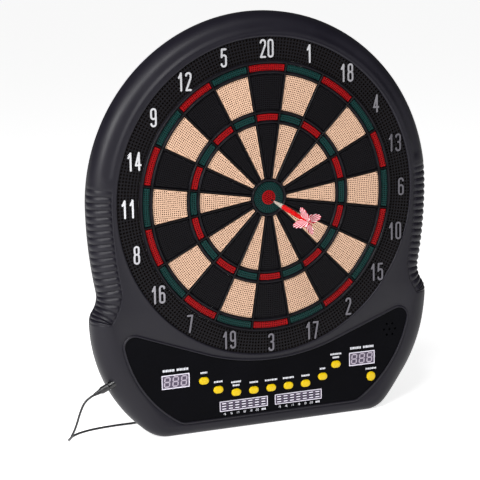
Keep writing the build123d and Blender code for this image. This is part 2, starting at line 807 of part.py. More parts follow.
with BuildPart() as speaker_cone:
    with BuildSketch(Plane(origin=(SPEAKER_AT[0], SPEAKER_Y, SPEAKER_AT[1]), x_dir=(1, 0, 0))):
        with BuildLine():
            rim_r = SPEAKER_D / 2 - SPEAKER_WALL - PLAY
            deep = SPEAKER_RING_H - CONE_T
            Polyline(
                (rim_r, CONE_T),
                (CONE_CAP_D / 2, deep - CONE_T),
                (0, deep - 3 * CONE_T),
                (0, deep - 2 * CONE_T),
                (CONE_CAP_D / 2, deep),
                (rim_r, 2 * CONE_T),
                (rim_r, CONE_T),
            )
        make_face()
    revolve(axis=Axis((SPEAKER_AT[0], 0, SPEAKER_AT[1]), (0, 1, 0)))
save(speaker_cone, "speaker_cone")

# Power inlet, plug and lead --------------------------------------------------------------------
JACK_BODY = 12.0
JACK_BORE_D = 5.8
JACK_BORE = 10.5
JACK_PIN_D = 2.0
BARREL_PLUG_D = 5.5
BARREL_PLUG_BORE = 2.3
BARREL_PLUG_L = 9.5
PLUG_GAP = 0.2
JACK_NECK_L = 7.5
PLUG_STEP = 1.0
with BuildPart() as dc_jack:
    with BuildSketch(jack_plane(-WALL - JACK_DEPTH)):
        Rectangle(JACK_BODY, JACK_BODY)
    extrude(amount=JACK_DEPTH - JACK_NECK_L)
    with BuildSketch(jack_plane(-JACK_NECK_L - WALL)):
        Circle(JACK_D / 2)
    extrude(amount=JACK_NECK_L + WALL)
    with BuildSketch(jack_plane(-JACK_BORE)):
        Circle(JACK_BORE_D / 2)
        Circle(JACK_PIN_D / 2, mode=Mode.SUBTRACT)
    extrude(amount=JACK_BORE, mode=Mode.SUBTRACT)
save(dc_jack, "dc_jack")

with BuildPart() as dc_plug:
    with BuildSketch(jack_plane(PLUG_GAP)):
        Circle(PLUG_D / 2)
    extrude(amount=PLUG_L)
    with BuildSketch(jack_plane(PLUG_GAP + PLUG_L)):
        Circle(PLUG_D / 2 - PLUG_STEP)
    with BuildSketch(jack_plane(PLUG_GAP + PLUG_L + RELIEF_L)):
        Circle(RELIEF_D / 2)
    loft()
    with BuildSketch(jack_plane(PLUG_GAP - BARREL_PLUG_L)):
        Circle(BARREL_PLUG_D / 2)
        Circle(BARREL_PLUG_BORE / 2, mode=Mode.SUBTRACT)
    extrude(amount=BARREL_PLUG_L)
save(dc_plug, "dc_plug")

CORD_START = jack_plane(PLUG_GAP + PLUG_L + RELIEF_L).origin
LEAD_POINTS = [
    (CORD_START.X, CORD_START.Y, CORD_START.Z),
    (-253.8, -4.5, 61.8),
    (-261.5, -4.0, 46.0),
    (-267.0, -1.5, 26.0),
    (-272.0, 8.0, 9.0),
    (-270.0, 26.0, 1.6),
    (-256.0, 47.0, 1.6),
    (-230.0, 60.0, 1.6),
    (-195.0, 65.0, 1.6),
    (-157.0, 64.0, 1.6),
    (-126.0, 69.0, 1.6),
    (-104.0, 71.2, 1.6),
    (-92.0, 70.8, 1.6),
]
TAIL_POINTS = [
    (-86.0, 71.0, 11.4),
    (-72.0, 70.6, 12.0),
    (-60.0, 71.2, 13.4),
    (-50.0, 71.0, 14.0),
]


def cord_tube(name, routes):
    """A tube along each route: straight runs joined by arcs as large as the runs allow."""
    with BuildPart() as tube:
        for points in routes:
            knots = [Vector(*p) for p in points]
            radii = []
            for before, at, after in zip(knots, knots[1:], knots[2:]):
                turn = (at - before).get_angle(after - at)
                shorter = min((at - before).length, (after - at).length)
                radii.append(0.45 * shorter / math.tan(math.radians(turn / 2)))
            with BuildLine() as path:
                FilletPolyline(*points, radius=radii)
            with BuildSketch(Plane(origin=knots[0], z_dir=knots[1] - knots[0])):
                Circle(CORD_D / 2)
            sweep(path=path.wires()[0])
            length = path.wires()[0].length
            print(name, "length", round(length, 1), "radii", [round(r, 1) for r in radii])
    section = math.pi * CORD_D**2 / 4
    print(name, "length from its volume", round(tube.part.volume / section, 1))
    save(tube, name)


cord_tube("cord_lead", [LEAD_POINTS, TAIL_POINTS])

with BuildPart() as cord_coil:
    with BuildSketch():
        with Locations(COIL_AT):
            Circle(COIL_OUT)
            Circle(COIL_IN, mode=Mode.SUBTRACT)
    extrude(amount=COIL_H)
save(cord_coil, "cord_coil")

ADAPTER_MID = ((ADAPTER_X[0] + ADAPTER_X[1]) / 2, (ADAPTER_Y[0] + ADAPTER_Y[1]) / 2)
ADAPTER_W = ADAPTER_X[1] - ADAPTER_X[0]
ADAPTER_L = ADAPTER_Y[1] - ADAPTER_Y[0]
CORD_END = Vector(*TAIL_POINTS[-1])
with BuildPart() as power_adapter:
    with BuildSketch():
        with Locations(ADAPTER_MID):
            RectangleRounded(ADAPTER_W, ADAPTER_L, ADAPTER_CORNER_R)
    extrude(amount=ADAPTER_H)
    ends = power_adapter.faces().sort_by(Axis.Z)
    fillet([*ends[0].edges(), *ends[-1].edges()], ADAPTER_EDGE_R)
    with BuildSketch(Plane.XY.offset((ADAPTER_H - ADAPTER_SEAM) / 2)):
        with Locations(ADAPTER_MID):
            RectangleRounded(ADAPTER_W, ADAPTER_L, ADAPTER_CORNER_R)
            offset(amount=-ADAPTER_SEAM, mode=Mode.SUBTRACT)
    extrude(amount=ADAPTER_SEAM, mode=Mode.SUBTRACT)
    with BuildSketch(Plane(origin=(ADAPTER_X[0], CORD_END.Y, CORD_END.Z), z_dir=(-1, 0, 0))):
        Circle(PLUG_D / 2)
    with BuildSketch(Plane(origin=CORD_END, z_dir=(-1, 0, 0))):
        Circle(RELIEF_D / 2)
    loft()
save(power_adapter, "power_adapter")

with BuildPart() as adapter_pins:
    with BuildSketch(Plane.XY.offset(ADAPTER_H)):
        with Locations((ADAPTER_MID[0], ADAPTER_MID[1])):
            with Locations((-PIN_SPAN / 2, 0), (PIN_SPAN / 2, 0)):
                Circle(PIN_D / 2)
    extrude(amount=PIN_L)
    fillet(adapter_pins.faces().sort_by(Axis.Z)[-2:].edges(), PIN_D / 4)
save(adapter_pins, "adapter_pins")

# Screws ----------------------------------------------------------------------------------------


def screws(name, seat, places, length, head_y, origin_plane):
    """One node of like screws driven forwards, heads towards the back."""
    with BuildPart() as group:
        with BuildSketch(origin_plane(head_y)):
            with Locations(*places):
                Circle(SCREW_HEAD_D / 2)
        extrude(amount=head_y - seat)
        with BuildSketch(origin_plane(seat)):
            with Locations(*places):
                Circle(SCREW_D / 2)
        extrude(amount=length)
    save(group, name)


COVER_SCREW_L = 14.0
STACK_SCREW_L = 8.0
BOARD_SCREW_L = 4.0
HEAD_REST = PLAY / 2
screws("cover_screws", BACK - SCREW_HEAD_T, COVER_SCREWS, COVER_SCREW_L, BACK - HEAD_REST, board)
STACK_PLACES = [
    polar(STACK_BOSS_R, (index + 0.5) * 360 / STACK_SCREWS) for index in range(STACK_SCREWS)
]
screws("stack_screws", STACK_END, STACK_PLACES, STACK_SCREW_L, STACK_END + SCREW_HEAD_T, board)
BOARD_REAR = BOARD_Y + BOARD_T
screws("board_screws", BOARD_REAR, LENS_POSTS, BOARD_SCREW_L, BOARD_REAR + SCREW_HEAD_T, base)

# Dart ------------------------------------------------------------------------------------------
TIP_POINT_D = 0.9
TIP_BASE_D = 4.6
TIP_TAPER = 6.0
with BuildPart() as dart_tip:
    with BuildSketch(dart_plane(-TIP_IN)):
        Circle(TIP_POINT_D / 2)
    with BuildSketch(dart_plane(-TIP_IN + TIP_TAPER)):
        Circle(TIP_D / 2)
    loft()
    with BuildSketch(dart_plane(-TIP_IN + TIP_TAPER)):
        Circle(TIP_D / 2)
    with BuildSketch(dart_plane(TIP_OUT)):
        Circle(TIP_BASE_D / 2)
    loft()
save(dart_tip, "dart_tip")

BARREL_END = TIP_OUT + DART_PLAY + BARREL_L
SHAFT_END = BARREL_END + DART_PLAY + SHAFT_L
BARREL_NOSE = 5.0
with BuildPart() as dart_barrel:
    with BuildSketch(dart_plane(TIP_OUT + DART_PLAY)):
        Circle(TIP_BASE_D / 2)
    with BuildSketch(dart_plane(TIP_OUT + DART_PLAY + BARREL_NOSE)):
        Circle(BARREL_D / 2)
    loft()
    with BuildSketch(dart_plane(TIP_OUT + DART_PLAY + BARREL_NOSE)):
        Circle(BARREL_D / 2)
    extrude(amount=BARREL_L - BARREL_NOSE)
save(dart_barrel, "dart_barrel")

with BuildPart() as dart_shaft:
    with BuildSketch(dart_plane(BARREL_END + DART_PLAY)):
        Circle(SHAFT_D / 2)
    extrude(amount=SHAFT_L)
save(dart_shaft, "dart_shaft")

with BuildPart() as dart_flight:
    for turn in (0, 90):
        with BuildSketch(dart_plane(FLIGHT_FROM).rotated((0, 0, turn)).rotated((90, 0, 0))):
            with Locations((0, FLIGHT_L / 2)):
                RectangleRounded(2 * FLIGHT_R, FLIGHT_L, FLIGHT_R / 2)
        extrude(amount=FLIGHT_T / 2, both=True)
    with BuildSketch(dart_plane(FLIGHT_FROM - SHAFT_D)):
        Circle(SHAFT_D / 2 + DART_PLAY)
    extrude(amount=SHAFT_END + DART_PLAY - FLIGHT_FROM + SHAFT_D, mode=Mode.SUBTRACT)
save(dart_flight, "dart_flight")
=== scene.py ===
import itertools
import json
import math
import bpy
import bmesh
from mathutils import Matrix, Vector
from mathutils.geometry import delaunay_2d_cdt


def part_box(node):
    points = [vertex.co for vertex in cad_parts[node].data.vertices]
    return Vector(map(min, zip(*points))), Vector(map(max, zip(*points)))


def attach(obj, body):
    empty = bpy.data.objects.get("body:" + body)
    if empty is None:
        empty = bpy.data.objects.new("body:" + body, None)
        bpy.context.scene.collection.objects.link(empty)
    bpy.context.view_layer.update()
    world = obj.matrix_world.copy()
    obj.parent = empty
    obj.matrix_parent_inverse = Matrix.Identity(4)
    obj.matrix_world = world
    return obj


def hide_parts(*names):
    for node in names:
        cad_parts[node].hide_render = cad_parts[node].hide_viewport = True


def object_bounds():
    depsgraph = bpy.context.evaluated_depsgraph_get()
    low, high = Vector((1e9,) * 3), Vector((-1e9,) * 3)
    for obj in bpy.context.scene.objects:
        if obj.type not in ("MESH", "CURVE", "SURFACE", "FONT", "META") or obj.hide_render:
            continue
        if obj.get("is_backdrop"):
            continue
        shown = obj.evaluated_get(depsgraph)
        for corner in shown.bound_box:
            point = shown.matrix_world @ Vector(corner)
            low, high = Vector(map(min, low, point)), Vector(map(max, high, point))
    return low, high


# Looks of an electronic dartboard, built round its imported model. The front faces -Y. Shapes are worked
# out in millimetres and become metres when a piece is made. Board points are measured from the bull.
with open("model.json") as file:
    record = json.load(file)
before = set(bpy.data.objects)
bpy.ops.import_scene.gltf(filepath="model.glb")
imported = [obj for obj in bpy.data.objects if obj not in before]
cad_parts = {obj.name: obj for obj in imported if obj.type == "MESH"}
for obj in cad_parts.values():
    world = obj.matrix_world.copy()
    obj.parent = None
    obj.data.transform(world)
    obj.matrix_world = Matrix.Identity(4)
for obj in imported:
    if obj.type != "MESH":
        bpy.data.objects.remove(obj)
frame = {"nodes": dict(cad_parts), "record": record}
cad_low, cad_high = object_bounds()
MM = 0.001


def sin(degrees):
    return math.sin(math.radians(degrees))


def cos(degrees):
    return math.cos(math.radians(degrees))


def span(node):
    """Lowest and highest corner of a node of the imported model, in millimetres."""
    low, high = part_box(node)
    return low / MM, high / MM


def middle(node):
    low, high = span(node)
    return (low + high) / 2


def smooth(low, high, value):
    """From 0 at low to 1 at high, with level ends."""
    share = min(1.0, max(0.0, (value - low) / (high - low)))
    return share * share * (3 - 2 * share)


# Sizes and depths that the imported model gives
FRONT = span("spider")[0].y
BACK = span("rear_cover")[1].y
COVER_Y = span("front_housing")[1].y
RIM_R = span("front_housing")[1].x
BOARD_Z = middle("outer_bull").z
BULL_R = span("inner_bull")[1].x
RING_Y = span("number_ring")[0].y
SEGMENT_Y, SEGMENT_REAR = (corner.y for corner in span("segment_20"))
LENS_Y = span("panel_lens")[0].y
DISPLAY_Y, DISPLAY_REAR = (corner.y for corner in span("digit_displays"))
NUMBERS = [20, 1, 18, 4, 13, 6, 10, 15, 2, 17, 3, 19, 7, 16, 8, 11, 14, 9, 12, 5]
BUTTONS = sorted(node for node in frame["nodes"] if node.startswith("button_"))
STEP = 360 / len(NUMBERS)

# Camera
VIEW_TURN = -22.57
VIEW_RISE = 10.48
VIEW_ROLL = -1.05
VIEW_FROM = (-0.89105, -2.06033, 0.66188)
LENS = 130.39


def aim(azimuth, elevation, roll):
    """Rotation of a camera that looks from an azimuth and an elevation, as a matrix."""
    back = Vector((sin(azimuth) * cos(elevation), -cos(azimuth) * cos(elevation), sin(elevation)))
    right = (-back).cross(Vector((0, 0, 1))).normalized()
    up = right.cross(-back)
    across = right * cos(roll) + up * sin(roll)
    upright = up * cos(roll) - right * sin(roll)
    return Matrix((across, upright, back)).transposed().to_4x4()


view = bpy.data.cameras.new("camera")
view.lens = LENS
view.clip_end = 100
camera = bpy.data.objects.new("camera", view)
camera.matrix_world = Matrix.Translation(VIEW_FROM) @ aim(VIEW_TURN, VIEW_RISE, VIEW_ROLL)
bpy.context.scene.collection.objects.link(camera)
bpy.context.scene.camera = camera


# Materials
def tint(red, green, blue):
    """A colour given as 0 to 255, as the linear colour that a shader takes."""
    parts = [c / 255 for c in (red, green, blue)]
    return [c / 12.92 if c <= 0.04045 else ((c + 0.055) / 1.055) ** 2.4 for c in parts]


def node(tree, kind, links=(), **settings):
    """A shader node with its sockets set, and its inputs linked from (socket, output) pairs."""
    made = tree.nodes.new(kind)
    for key, value in settings.items():
        if key in made.bl_rna.properties:
            setattr(made, key, value)
        else:
            made.inputs[key.replace("_", " ")].default_value = value
    for socket, output in links:
        tree.links.new(output, made.inputs[socket])
    return made


def stops(ramp, places):
    """Sets a colour ramp's stops from (place, colour) pairs."""
    places = list(places)
    while len(ramp.elements) < len(places):
        ramp.elements.new(1.0)
    for element, (place, colour) in zip(ramp.elements, places):
        element.position = place
        element.color = (*colour, 1.0)


def finish(name, colour, rough, spread=0.12, grain=700.0, bump=0.02, mottle=18.0, swing=0.06,
           metal=0.0, specular=0.5, coat=0.0, wear=0.0, worn=None, stretch=(1, 1, 1)):
    """A moulded, printed or plated surface: fine grain, slow mottling and uneven gloss.
    grain and mottle are features per metre, bump is the grain's depth in millimetres, and wear is how far
    its sharp edges go over to worn: light wear on the housing, a painted highlight on the web's crests."""
    made = bpy.data.materials.new(name)
    made.use_nodes = True
    tree = made.node_tree
    surface = tree.nodes["Principled BSDF"]
    surface.inputs["Metallic"].default_value = metal
    surface.inputs["Specular IOR Level"].default_value = specular
    surface.inputs["Coat Weight"].default_value = coat
    place = node(tree, "ShaderNodeTexCoord").outputs["Object"]
    place = node(tree, "ShaderNodeMapping", [("Vector", place)], Scale=stretch).outputs[0]
    fine = node(tree, "ShaderNodeTexNoise", [("Vector", place)], Scale=grain, Detail=3.0)
    slow = node(tree, "ShaderNodeTexNoise", [("Vector", place)], Scale=mottle, Detail=5.0)
    both = node(tree, "ShaderNodeMath", [(0, fine.outputs["Fac"]), (1, slow.outputs["Fac"])])
    half = node(tree, "ShaderNodeMath", [(0, both.outputs[0])], operation="MULTIPLY")
    half.inputs[1].default_value = 0.5
    ramp = node(tree, "ShaderNodeValToRGB", [("Fac", half.outputs[0])])
    dark = [c * (1 - spread) for c in colour]
    light = [min(1.0, c * (1 + spread)) for c in colour]
    stops(ramp.color_ramp, [(0.35, dark), (0.65, light)])
    shade = ramp.outputs["Color"]
    # Sharp edges turn lighter: light wear on the housing, a painted highlight along the web's crests
    if wear:
        edge = node(tree, "ShaderNodeNewGeometry").outputs["Pointiness"]
        sharp = node(tree, "ShaderNodeMapRange", [("Value", edge)], From_Min=0.51, From_Max=0.56)
        some = node(tree, "ShaderNodeMath", [(0, sharp.outputs[0]), (1, slow.outputs["Fac"])],
                    operation="MULTIPLY")
        part = node(tree, "ShaderNodeMath", [(0, some.outputs[0])], operation="MULTIPLY")
        part.inputs[1].default_value = wear
        mixed = node(tree, "ShaderNodeMix", data_type="RGBA")
        tree.links.new(part.outputs[0], mixed.inputs[0])
        tree.links.new(shade, mixed.inputs[6])
        mixed.inputs[7].default_value = (*(worn or [min(1.0, c * 2.2 + 0.02) for c in colour]), 1)
        shade = mixed.outputs[2]
    tree.links.new(shade, surface.inputs["Base Color"])
    gloss = node(tree, "ShaderNodeMapRange", [("Value", slow.outputs["Fac"])],
                 From_Min=0.3, From_Max=0.7, To_Min=max(0.02, rough - swing), To_Max=rough + swing)
    tree.links.new(gloss.outputs[0], surface.inputs["Roughness"])
    if bump:
        raised = node(tree, "ShaderNodeBump", [("Height", fine.outputs["Fac"])], Strength=1.0,
                      Distance=bump * MM)
        tree.links.new(raised.outputs[0], surface.inputs["Normal"])
    return made


def tinted(made, value, places):
    """The finish with its colour taken from a ramp over a value."""
    tree = made.node_tree
    ramp = node(tree, "ShaderNodeValToRGB", [("Fac", value)])
    stops(ramp.color_ramp, places)
    tree.links.new(ramp.outputs["Color"], tree.nodes["Principled BSDF"].inputs["Base Color"])
    return made


CHARCOAL = tint(16, 14, 23)
CREAM = tint(200, 163, 137)
RED = tint(134, 2, 7)
GREEN = tint(3, 44, 42)
BLACK = tint(9, 8, 12)
YELLOW = tint(204, 172, 2)
MATERIALS = {}


def slotted(slot, colour, rough, **look):
    """The finish of a material slot of the record."""
    MATERIALS[slot] = finish(slot, colour, rough, **look)


slotted("housing", CHARCOAL, 0.46, bump=0.03, grain=1400, wear=0.2, specular=0.27)
slotted("cover", tint(48, 47, 52), 0.55, bump=0.05, grain=1100)
slotted("ring_black", tint(13, 12, 16), 0.4, bump=0.01, specular=0.12)
slotted("silver", tint(205, 205, 212), 0.22, metal=1.0, swing=0.08, mottle=60, bump=0.004)
# The web's sharp crests go over to a lighter grey, a painted highlight
slotted("web", tint(9, 8, 11), 0.34, bump=0.01, wear=0.6, worn=tint(46, 44, 52), specular=0.1)
slotted("segment_black", BLACK, 0.45, bump=0.01, specular=0.1)
slotted("segment_cream", CREAM, 0.5, spread=0.06, bump=0.01, specular=0.3)
slotted("ring_red", RED, 0.4, spread=0.08, bump=0.01, specular=0.12)
slotted("ring_green", GREEN, 0.42, spread=0.1, bump=0.01, specular=0.15)
slotted("film", tint(200, 200, 190), 0.3, bump=0)
slotted("foam", tint(70, 70, 72), 0.9, bump=0.2, grain=900)
slotted("board_fibre", tint(140, 105, 75), 0.8, bump=0.05, stretch=(1, 1, 6))
slotted("lens", tint(5, 5, 8), 0.08, spread=0.3, bump=0, swing=0.03, specular=0.03)
slotted("silicone", tint(190, 190, 190), 0.6)
slotted("circuit", tint(28, 96, 58), 0.35, bump=0.01, grain=250)
slotted("display", tint(76, 68, 84), 0.25, bump=0.0, specular=0.15)
slotted("cone", tint(40, 38, 36), 0.85, bump=0.08)
slotted("inlet", tint(16, 16, 18), 0.3)
slotted("cable", tint(22, 22, 24), 0.42, bump=0.01, grain=500)
slotted("adapter", tint(26, 26, 29), 0.5, bump=0.03, grain=1300)
slotted("nickel", tint(225, 222, 212), 0.16, metal=1.0, bump=0.003, mottle=90)
slotted("screw", tint(120, 120, 124), 0.32, metal=1.0, bump=0.01)
slotted("button_yellow", YELLOW, 0.28, spread=0.04, bump=0.004, specular=0.25)
slotted("dart_tip", tint(30, 30, 32), 0.3, bump=0)
slotted("dart_red", tint(190, 6, 12), 0.26, spread=0.06, bump=0, specular=0.35)
slotted("flight", tint(235, 90, 105), 0.35)
PRINT = finish("print", tint(205, 205, 212), 0.5, spread=0.05, bump=0)
SEGMENT_GREY = finish("unlit_segment", tint(160, 150, 165), 0.4, spread=0.05, bump=0)
FRAME_WHITE = finish("display_frame", tint(214, 208, 222), 0.45, spread=0.05, bump=0)
DART_SILVER = finish("dart_silver", tint(196, 190, 178), 0.32, metal=0.3, bump=0.004)
# Painted shade: the near-black colour put inside blind holes, where no light reaches
HOLE_PAINTED_SHADE = finish("hole_painted_shade", tint(20, 14, 12), 0.8, bump=0, specular=0.1)
DISPLAY_DARK = finish("display_dark", tint(44, 40, 52), 0.3, spread=0.05, bump=0, specular=0.1)


# Mesh tools
class Solid:
    """Loops of points, in millimetres, and the faces between them."""

    def __init__(self):
        self.points = []
        self.faces = []
        self.shaded = set()

    def loop(self, points):
        start = len(self.points)
        self.points.extend(points)
        return list(range(start, len(self.points)))

    def wall(self, one, other, closed=True):
        """Quads between two loops of the same count."""
        count = len(one)
        for i in range(count if closed else count - 1):
            j = (i + 1) % count
            self.faces.append((one[i], one[j], other[j], other[i]))

    def cap(self, loop):
        self.faces.append(tuple(loop))

    def tunnel(self, loops):
        """Walls through a row of loops."""
        for one, other in zip(loops, loops[1:]):
            self.wall(one, other)

    def pit(self, mouth, floor):
        """A blind hole, whose inside takes the piece's second material, a painted shade."""
        start = len(self.faces)
        self.wall(mouth, floor)
        self.cap(floor)
        self.shaded.update(range(start, len(self.faces)))

    def fill(self, outer, holes=()):
        """A flat face with holes, in the plane of X and Z, as triangles."""
        rings = []
        for loop in (outer, *holes):
            around = [(self.points[i][0], self.points[i][2]) for i in loop]
            area = sum(a[0] * b[1] - b[0] * a[1] for a, b in zip(around, around[1:] + around[:1]))
            rings.append(loop if area > 0 else loop[::-1])
        index = [i for ring in rings for i in ring]
        flat = [Vector((self.points[i][0], self.points[i][2])) for i in index]
        numbered, start = [], 0
        for ring in rings:
            numbered.append(list(range(start, start + len(ring))))
            start += len(ring)
        _, _, triangles, sources, _, owners = delaunay_2d_cdt(flat, [], numbered, 1, 1e-7)
        for triangle, owner in zip(triangles, owners):
            if list(owner) == [0]:
                self.faces.append(tuple(index[sources[v][0]] for v in triangle))

    def piece(self, name, body, slot=None, replaces=(), material=None, crease=35.0, inside=None):
        """The mesh object, riding on a body. inside is the material of its blind holes, a painted shade."""
        data = bpy.data.meshes.new(name)
        data.from_pydata([Vector(p) * MM for p in self.points], [], self.faces)
        data.polygons.foreach_set("material_index", [i in self.shaded for i in range(len(self.faces))])
        work = bmesh.new()
        work.from_mesh(data)
        bmesh.ops.recalc_face_normals(work, faces=work.faces)
        work.to_mesh(data)
        work.free()
        data.shade_smooth()
        data.set_sharp_from_angle(angle=math.radians(crease))
        made = place(bpy.data.objects.new(name, data), body, slot, replaces, material)
        if inside:
            data.materials.append(inside)
        return made


def place(piece, body, slot=None, replaces=(), material=None):
    """Links a piece and sets it on its body. It gets its slot's finish unless another is named."""
    bpy.context.scene.collection.objects.link(piece)
    piece.data.materials.append(material or MATERIALS[slot])
    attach(piece, body)
    if replaces:
        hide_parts(*replaces)
    return piece


def at(loop, y):
    """Board points set at a depth."""
    return [(x, y, BOARD_Z + z) for x, z in loop]


def grounded(loop, y):
    """Points measured from the middle of the base, set at a depth."""
    return [(x, y, z) for x, z in loop]


def polar(radius, degrees):
    return (radius * sin(degrees), radius * cos(degrees))


def circle(radius, count, centre=(0, 0), turn=0.0):
    return [
        (centre[0] + radius * sin(turn + 360 * i / count), centre[1] + radius * cos(turn + 360 * i / count))
        for i in range(count)
    ]


def rounds(made, radius, count, steps):
    """Circles round the bull, as loops on a solid, from (growth, depth) pairs."""
    return [made.loop(at(circle(radius + grow, count), y)) for grow, y in steps]


def oval(width, height, centre, count=12):
    """A stadium outline, each end in count steps."""
    reach = (width - height) / 2
    ends = [(reach, 90), (-reach, 270)]
    return [
        (centre[0] + x + height / 2 * sin(a), centre[1] + height / 2 * cos(a))
        for x, mid in ends
        for a in [mid - 90 + 180 * i / count for i in range(count + 1)]
    ]


def box_outline(width, height, radius, centre, count=5):
    """A rounded rectangle."""
    across, tall = width / 2 - radius, height / 2 - radius
    corners = [(across, tall, 0), (across, -tall, 90), (-across, -tall, 180), (-across, tall, 270)]
    return [
        (centre[0] + x + radius * sin(turn), centre[1] + z + radius * cos(turn))
        for x, z, start in corners
        for turn in [start + 90 * i / count for i in range(count + 1)]
    ]


def revolve(profile, count=48):
    """A turned solid about its own Z, from (radius, height) pairs. Radius 0 closes an end."""
    made = Solid()
    loops = []
    for radius, height in profile:
        if radius > 0:
            loops.append(made.loop([(x, y, height) for x, y in circle(radius, count)]))
        else:
            loops.append(made.loop([(0, 0, height)]))
    for one, other in zip(loops, loops[1:]):
        if len(one) == 1 or len(other) == 1:
            tip, ring = (one, other) if len(one) == 1 else (other, one)
            for i in range(count):
                made.faces.append((tip[0], ring[i], ring[(i + 1) % count]))
        else:
            made.wall(one, other)
    return made


def stand(made, origin, axis):
    """Turns a solid's own Z to an axis and moves it to an origin, in millimetres."""
    turn = Vector(axis).to_track_quat("Z", "Y").to_matrix()
    made.points = [turn @ Vector(p) + Vector(origin) for p in made.points]
    return made


# Power lead: plug, lead and coil
CORD_D = 3.0
JACK_TURN = 24.6
JACK_AXIS = Vector((-cos(JACK_TURN), 0, -sin(JACK_TURN)))
LEAD_POINTS = [
    (-0.24231, -0.0045, 0.06676),
    (-0.2538, -0.0045, 0.0618),
    (-0.2615, -0.004, 0.046),
    (-0.267, -0.0015, 0.026),
    (-0.272, 0.008, 0.009),
    (-0.27, 0.026, 0.0016),
    (-0.256, 0.047, 0.0016),
    (-0.23, 0.06, 0.0016),
    (-0.195, 0.065, 0.0016),
    (-0.157, 0.064, 0.0016),
    (-0.126, 0.069, 0.0016),
    (-0.104, 0.0712, 0.0016),
]
TAIL_POINTS = [
    (-0.0725, 0.0706, 0.012),
    (-0.06, 0.0712, 0.0134),
    (-0.05, 0.071, 0.014),
]
COIL_MIDDLE = (-0.088, 0.0898)
COIL_RADII = (0.0188, 0.0157, 0.0126)
COIL_LEVELS = (0.002, 0.0051, 0.0082, 0.0113)
COIL_STEPS = 16
COIL_HOLD = 0.72
COIL_END = (COIL_MIDDLE[0], COIL_MIDDLE[1] - COIL_RADII[0], COIL_LEVELS[-1])


def coil():
    """Control points of the wound part: in and out again, level by level, starting nearest the object."""
    pitch = COIL_RADII[0] - COIL_RADII[1]
    swell = 1 / cos(180 / COIL_STEPS)
    turns = len(COIL_RADII)
    points = []
    for level, height in enumerate(COIL_LEVELS):
        rise = (COIL_LEVELS[level + 1] - height) if level + 1 < len(COIL_LEVELS) else 0
        for step in range(turns * COIL_STEPS):
            turn, share = divmod(step / COIL_STEPS, 1)
            late = smooth(COIL_HOLD, 1, share)
            last = turn == turns - 1
            inward = turn + (0 if last else late)
            radius = COIL_RADII[0] - pitch * inward if level % 2 == 0 else COIL_RADII[-1] + pitch * inward
            lift = rise * late if last else 0
            angle = -90 + 360 * step / COIL_STEPS
            points.append((
                COIL_MIDDLE[0] + radius * swell * cos(angle),
                COIL_MIDDLE[1] + radius * swell * sin(angle),
                height + lift,
            ))
    return points


route = [*LEAD_POINTS, *coil(), COIL_END, *TAIL_POINTS]
curve = bpy.data.curves.new("power_lead", "CURVE")
curve.dimensions = "3D"
spline = curve.splines.new("NURBS")
spline.points.add(len(route) - 1)
for point, knot in zip(spline.points, route):
    point.co = (*knot, 1)
spline.order_u = 3
spline.use_endpoint_u = True
curve.resolution_u = 6
curve.bevel_depth = CORD_D / 2 * MM
curve.bevel_resolution = 4
curve.use_fill_caps = True
lead = place(bpy.data.objects.new("power_lead", curve), "root", "cable",
             ("cord_lead", "cord_coil"))

# The plug's boot: a barrel, a step and a ribbed strain relief that tapers to the lead
PLUG_FACE = Vector((-222.309, -4.5, 75.919))
boot = [(0, 0), (4.2, 0), (4.7, 0.5), (4.7, 10.2), (4.3, 11.4), (3.5, 12.2)]
for rib in range(5):
    start = 12.4 + rib * 1.9
    radius = 3.45 - rib * 0.31
    boot += [(radius, start), (radius, start + 1.1)]
    boot += [(radius - 0.75, start + 1.3), (radius - 0.8, start + 1.8)]
boot += [(2.1, 21.9), (1.6, 22.3), (0, 22.3)]
plug = stand(revolve(boot, 32), PLUG_FACE, JACK_AXIS).piece(
    "plug_boot", "root", "cable", ("dc_plug",))
BARREL_IN = 9.5
barrel = [(1.15, 0), (1.15, -BARREL_IN), (1.4, -BARREL_IN), (2.75, -BARREL_IN + 0.4), (2.75, 0), (1.15, 0)]
contact = stand(revolve(barrel, 32), PLUG_FACE, JACK_AXIS).piece(
    "plug_sleeve", "root", "nickel")

# The tie round the coil
tie = Solid()
TIE_T = 0.4
TIE_W = 5.0
side_in = (COIL_RADII[-1] / MM) - CORD_D / 2
side_out = (COIL_RADII[0] / MM) + CORD_D / 2
low_z, high_z = COIL_LEVELS[0] / MM - CORD_D / 2, COIL_LEVELS[-1] / MM + CORD_D / 2
rings = []
for reach, y in ((0, -1), (TIE_T, -1), (TIE_T, 1), (0, 1)):
    outline = box_outline(
        side_out - side_in + 2 * reach, high_z - low_z + 2 * reach, CORD_D / 2 + reach,
        ((side_in + side_out) / 2, (low_z + high_z) / 2),
    )
    rings.append(tie.loop([
        (COIL_MIDDLE[0] / MM + y * TIE_W / 2, COIL_MIDDLE[1] / MM + r, z) for r, z in outline
    ]))
tie.tunnel([*rings, rings[0]])
strap = tie.piece("coil_tie", "root", "cable")


# Housing
FLANK_R = 572.0
FLANK_TURN = 10.9
WAIST_R = 32.0
WAIST_TURN = 35.9
SHOULDER_R = 24.8
FOOT_X = 144.5
CORNER_R = 45.0
SHOULDER_Z = -(
    FLANK_R * sin(FLANK_TURN) + WAIST_R * (sin(FLANK_TURN) + sin(WAIST_TURN)) + SHOULDER_R * sin(WAIST_TURN)
)
SHOULDER_X = (
    RIM_R - FLANK_R * (1 - cos(FLANK_TURN)) + WAIST_R * (cos(FLANK_TURN) - cos(WAIST_TURN))
    + SHOULDER_R * (1 - cos(WAIST_TURN))
)
LOBE_ACROSS = SHOULDER_X - FOOT_X
LOBE_DOWN = BOARD_Z - CORNER_R + SHOULDER_Z
LOBE_R = (LOBE_ACROSS**2 + LOBE_DOWN**2 - CORNER_R**2) / (2 * (LOBE_ACROSS - CORNER_R))
LOBE_X = SHOULDER_X - LOBE_R
LOBE_TURN = math.degrees(math.asin(LOBE_DOWN / (LOBE_R - CORNER_R)))


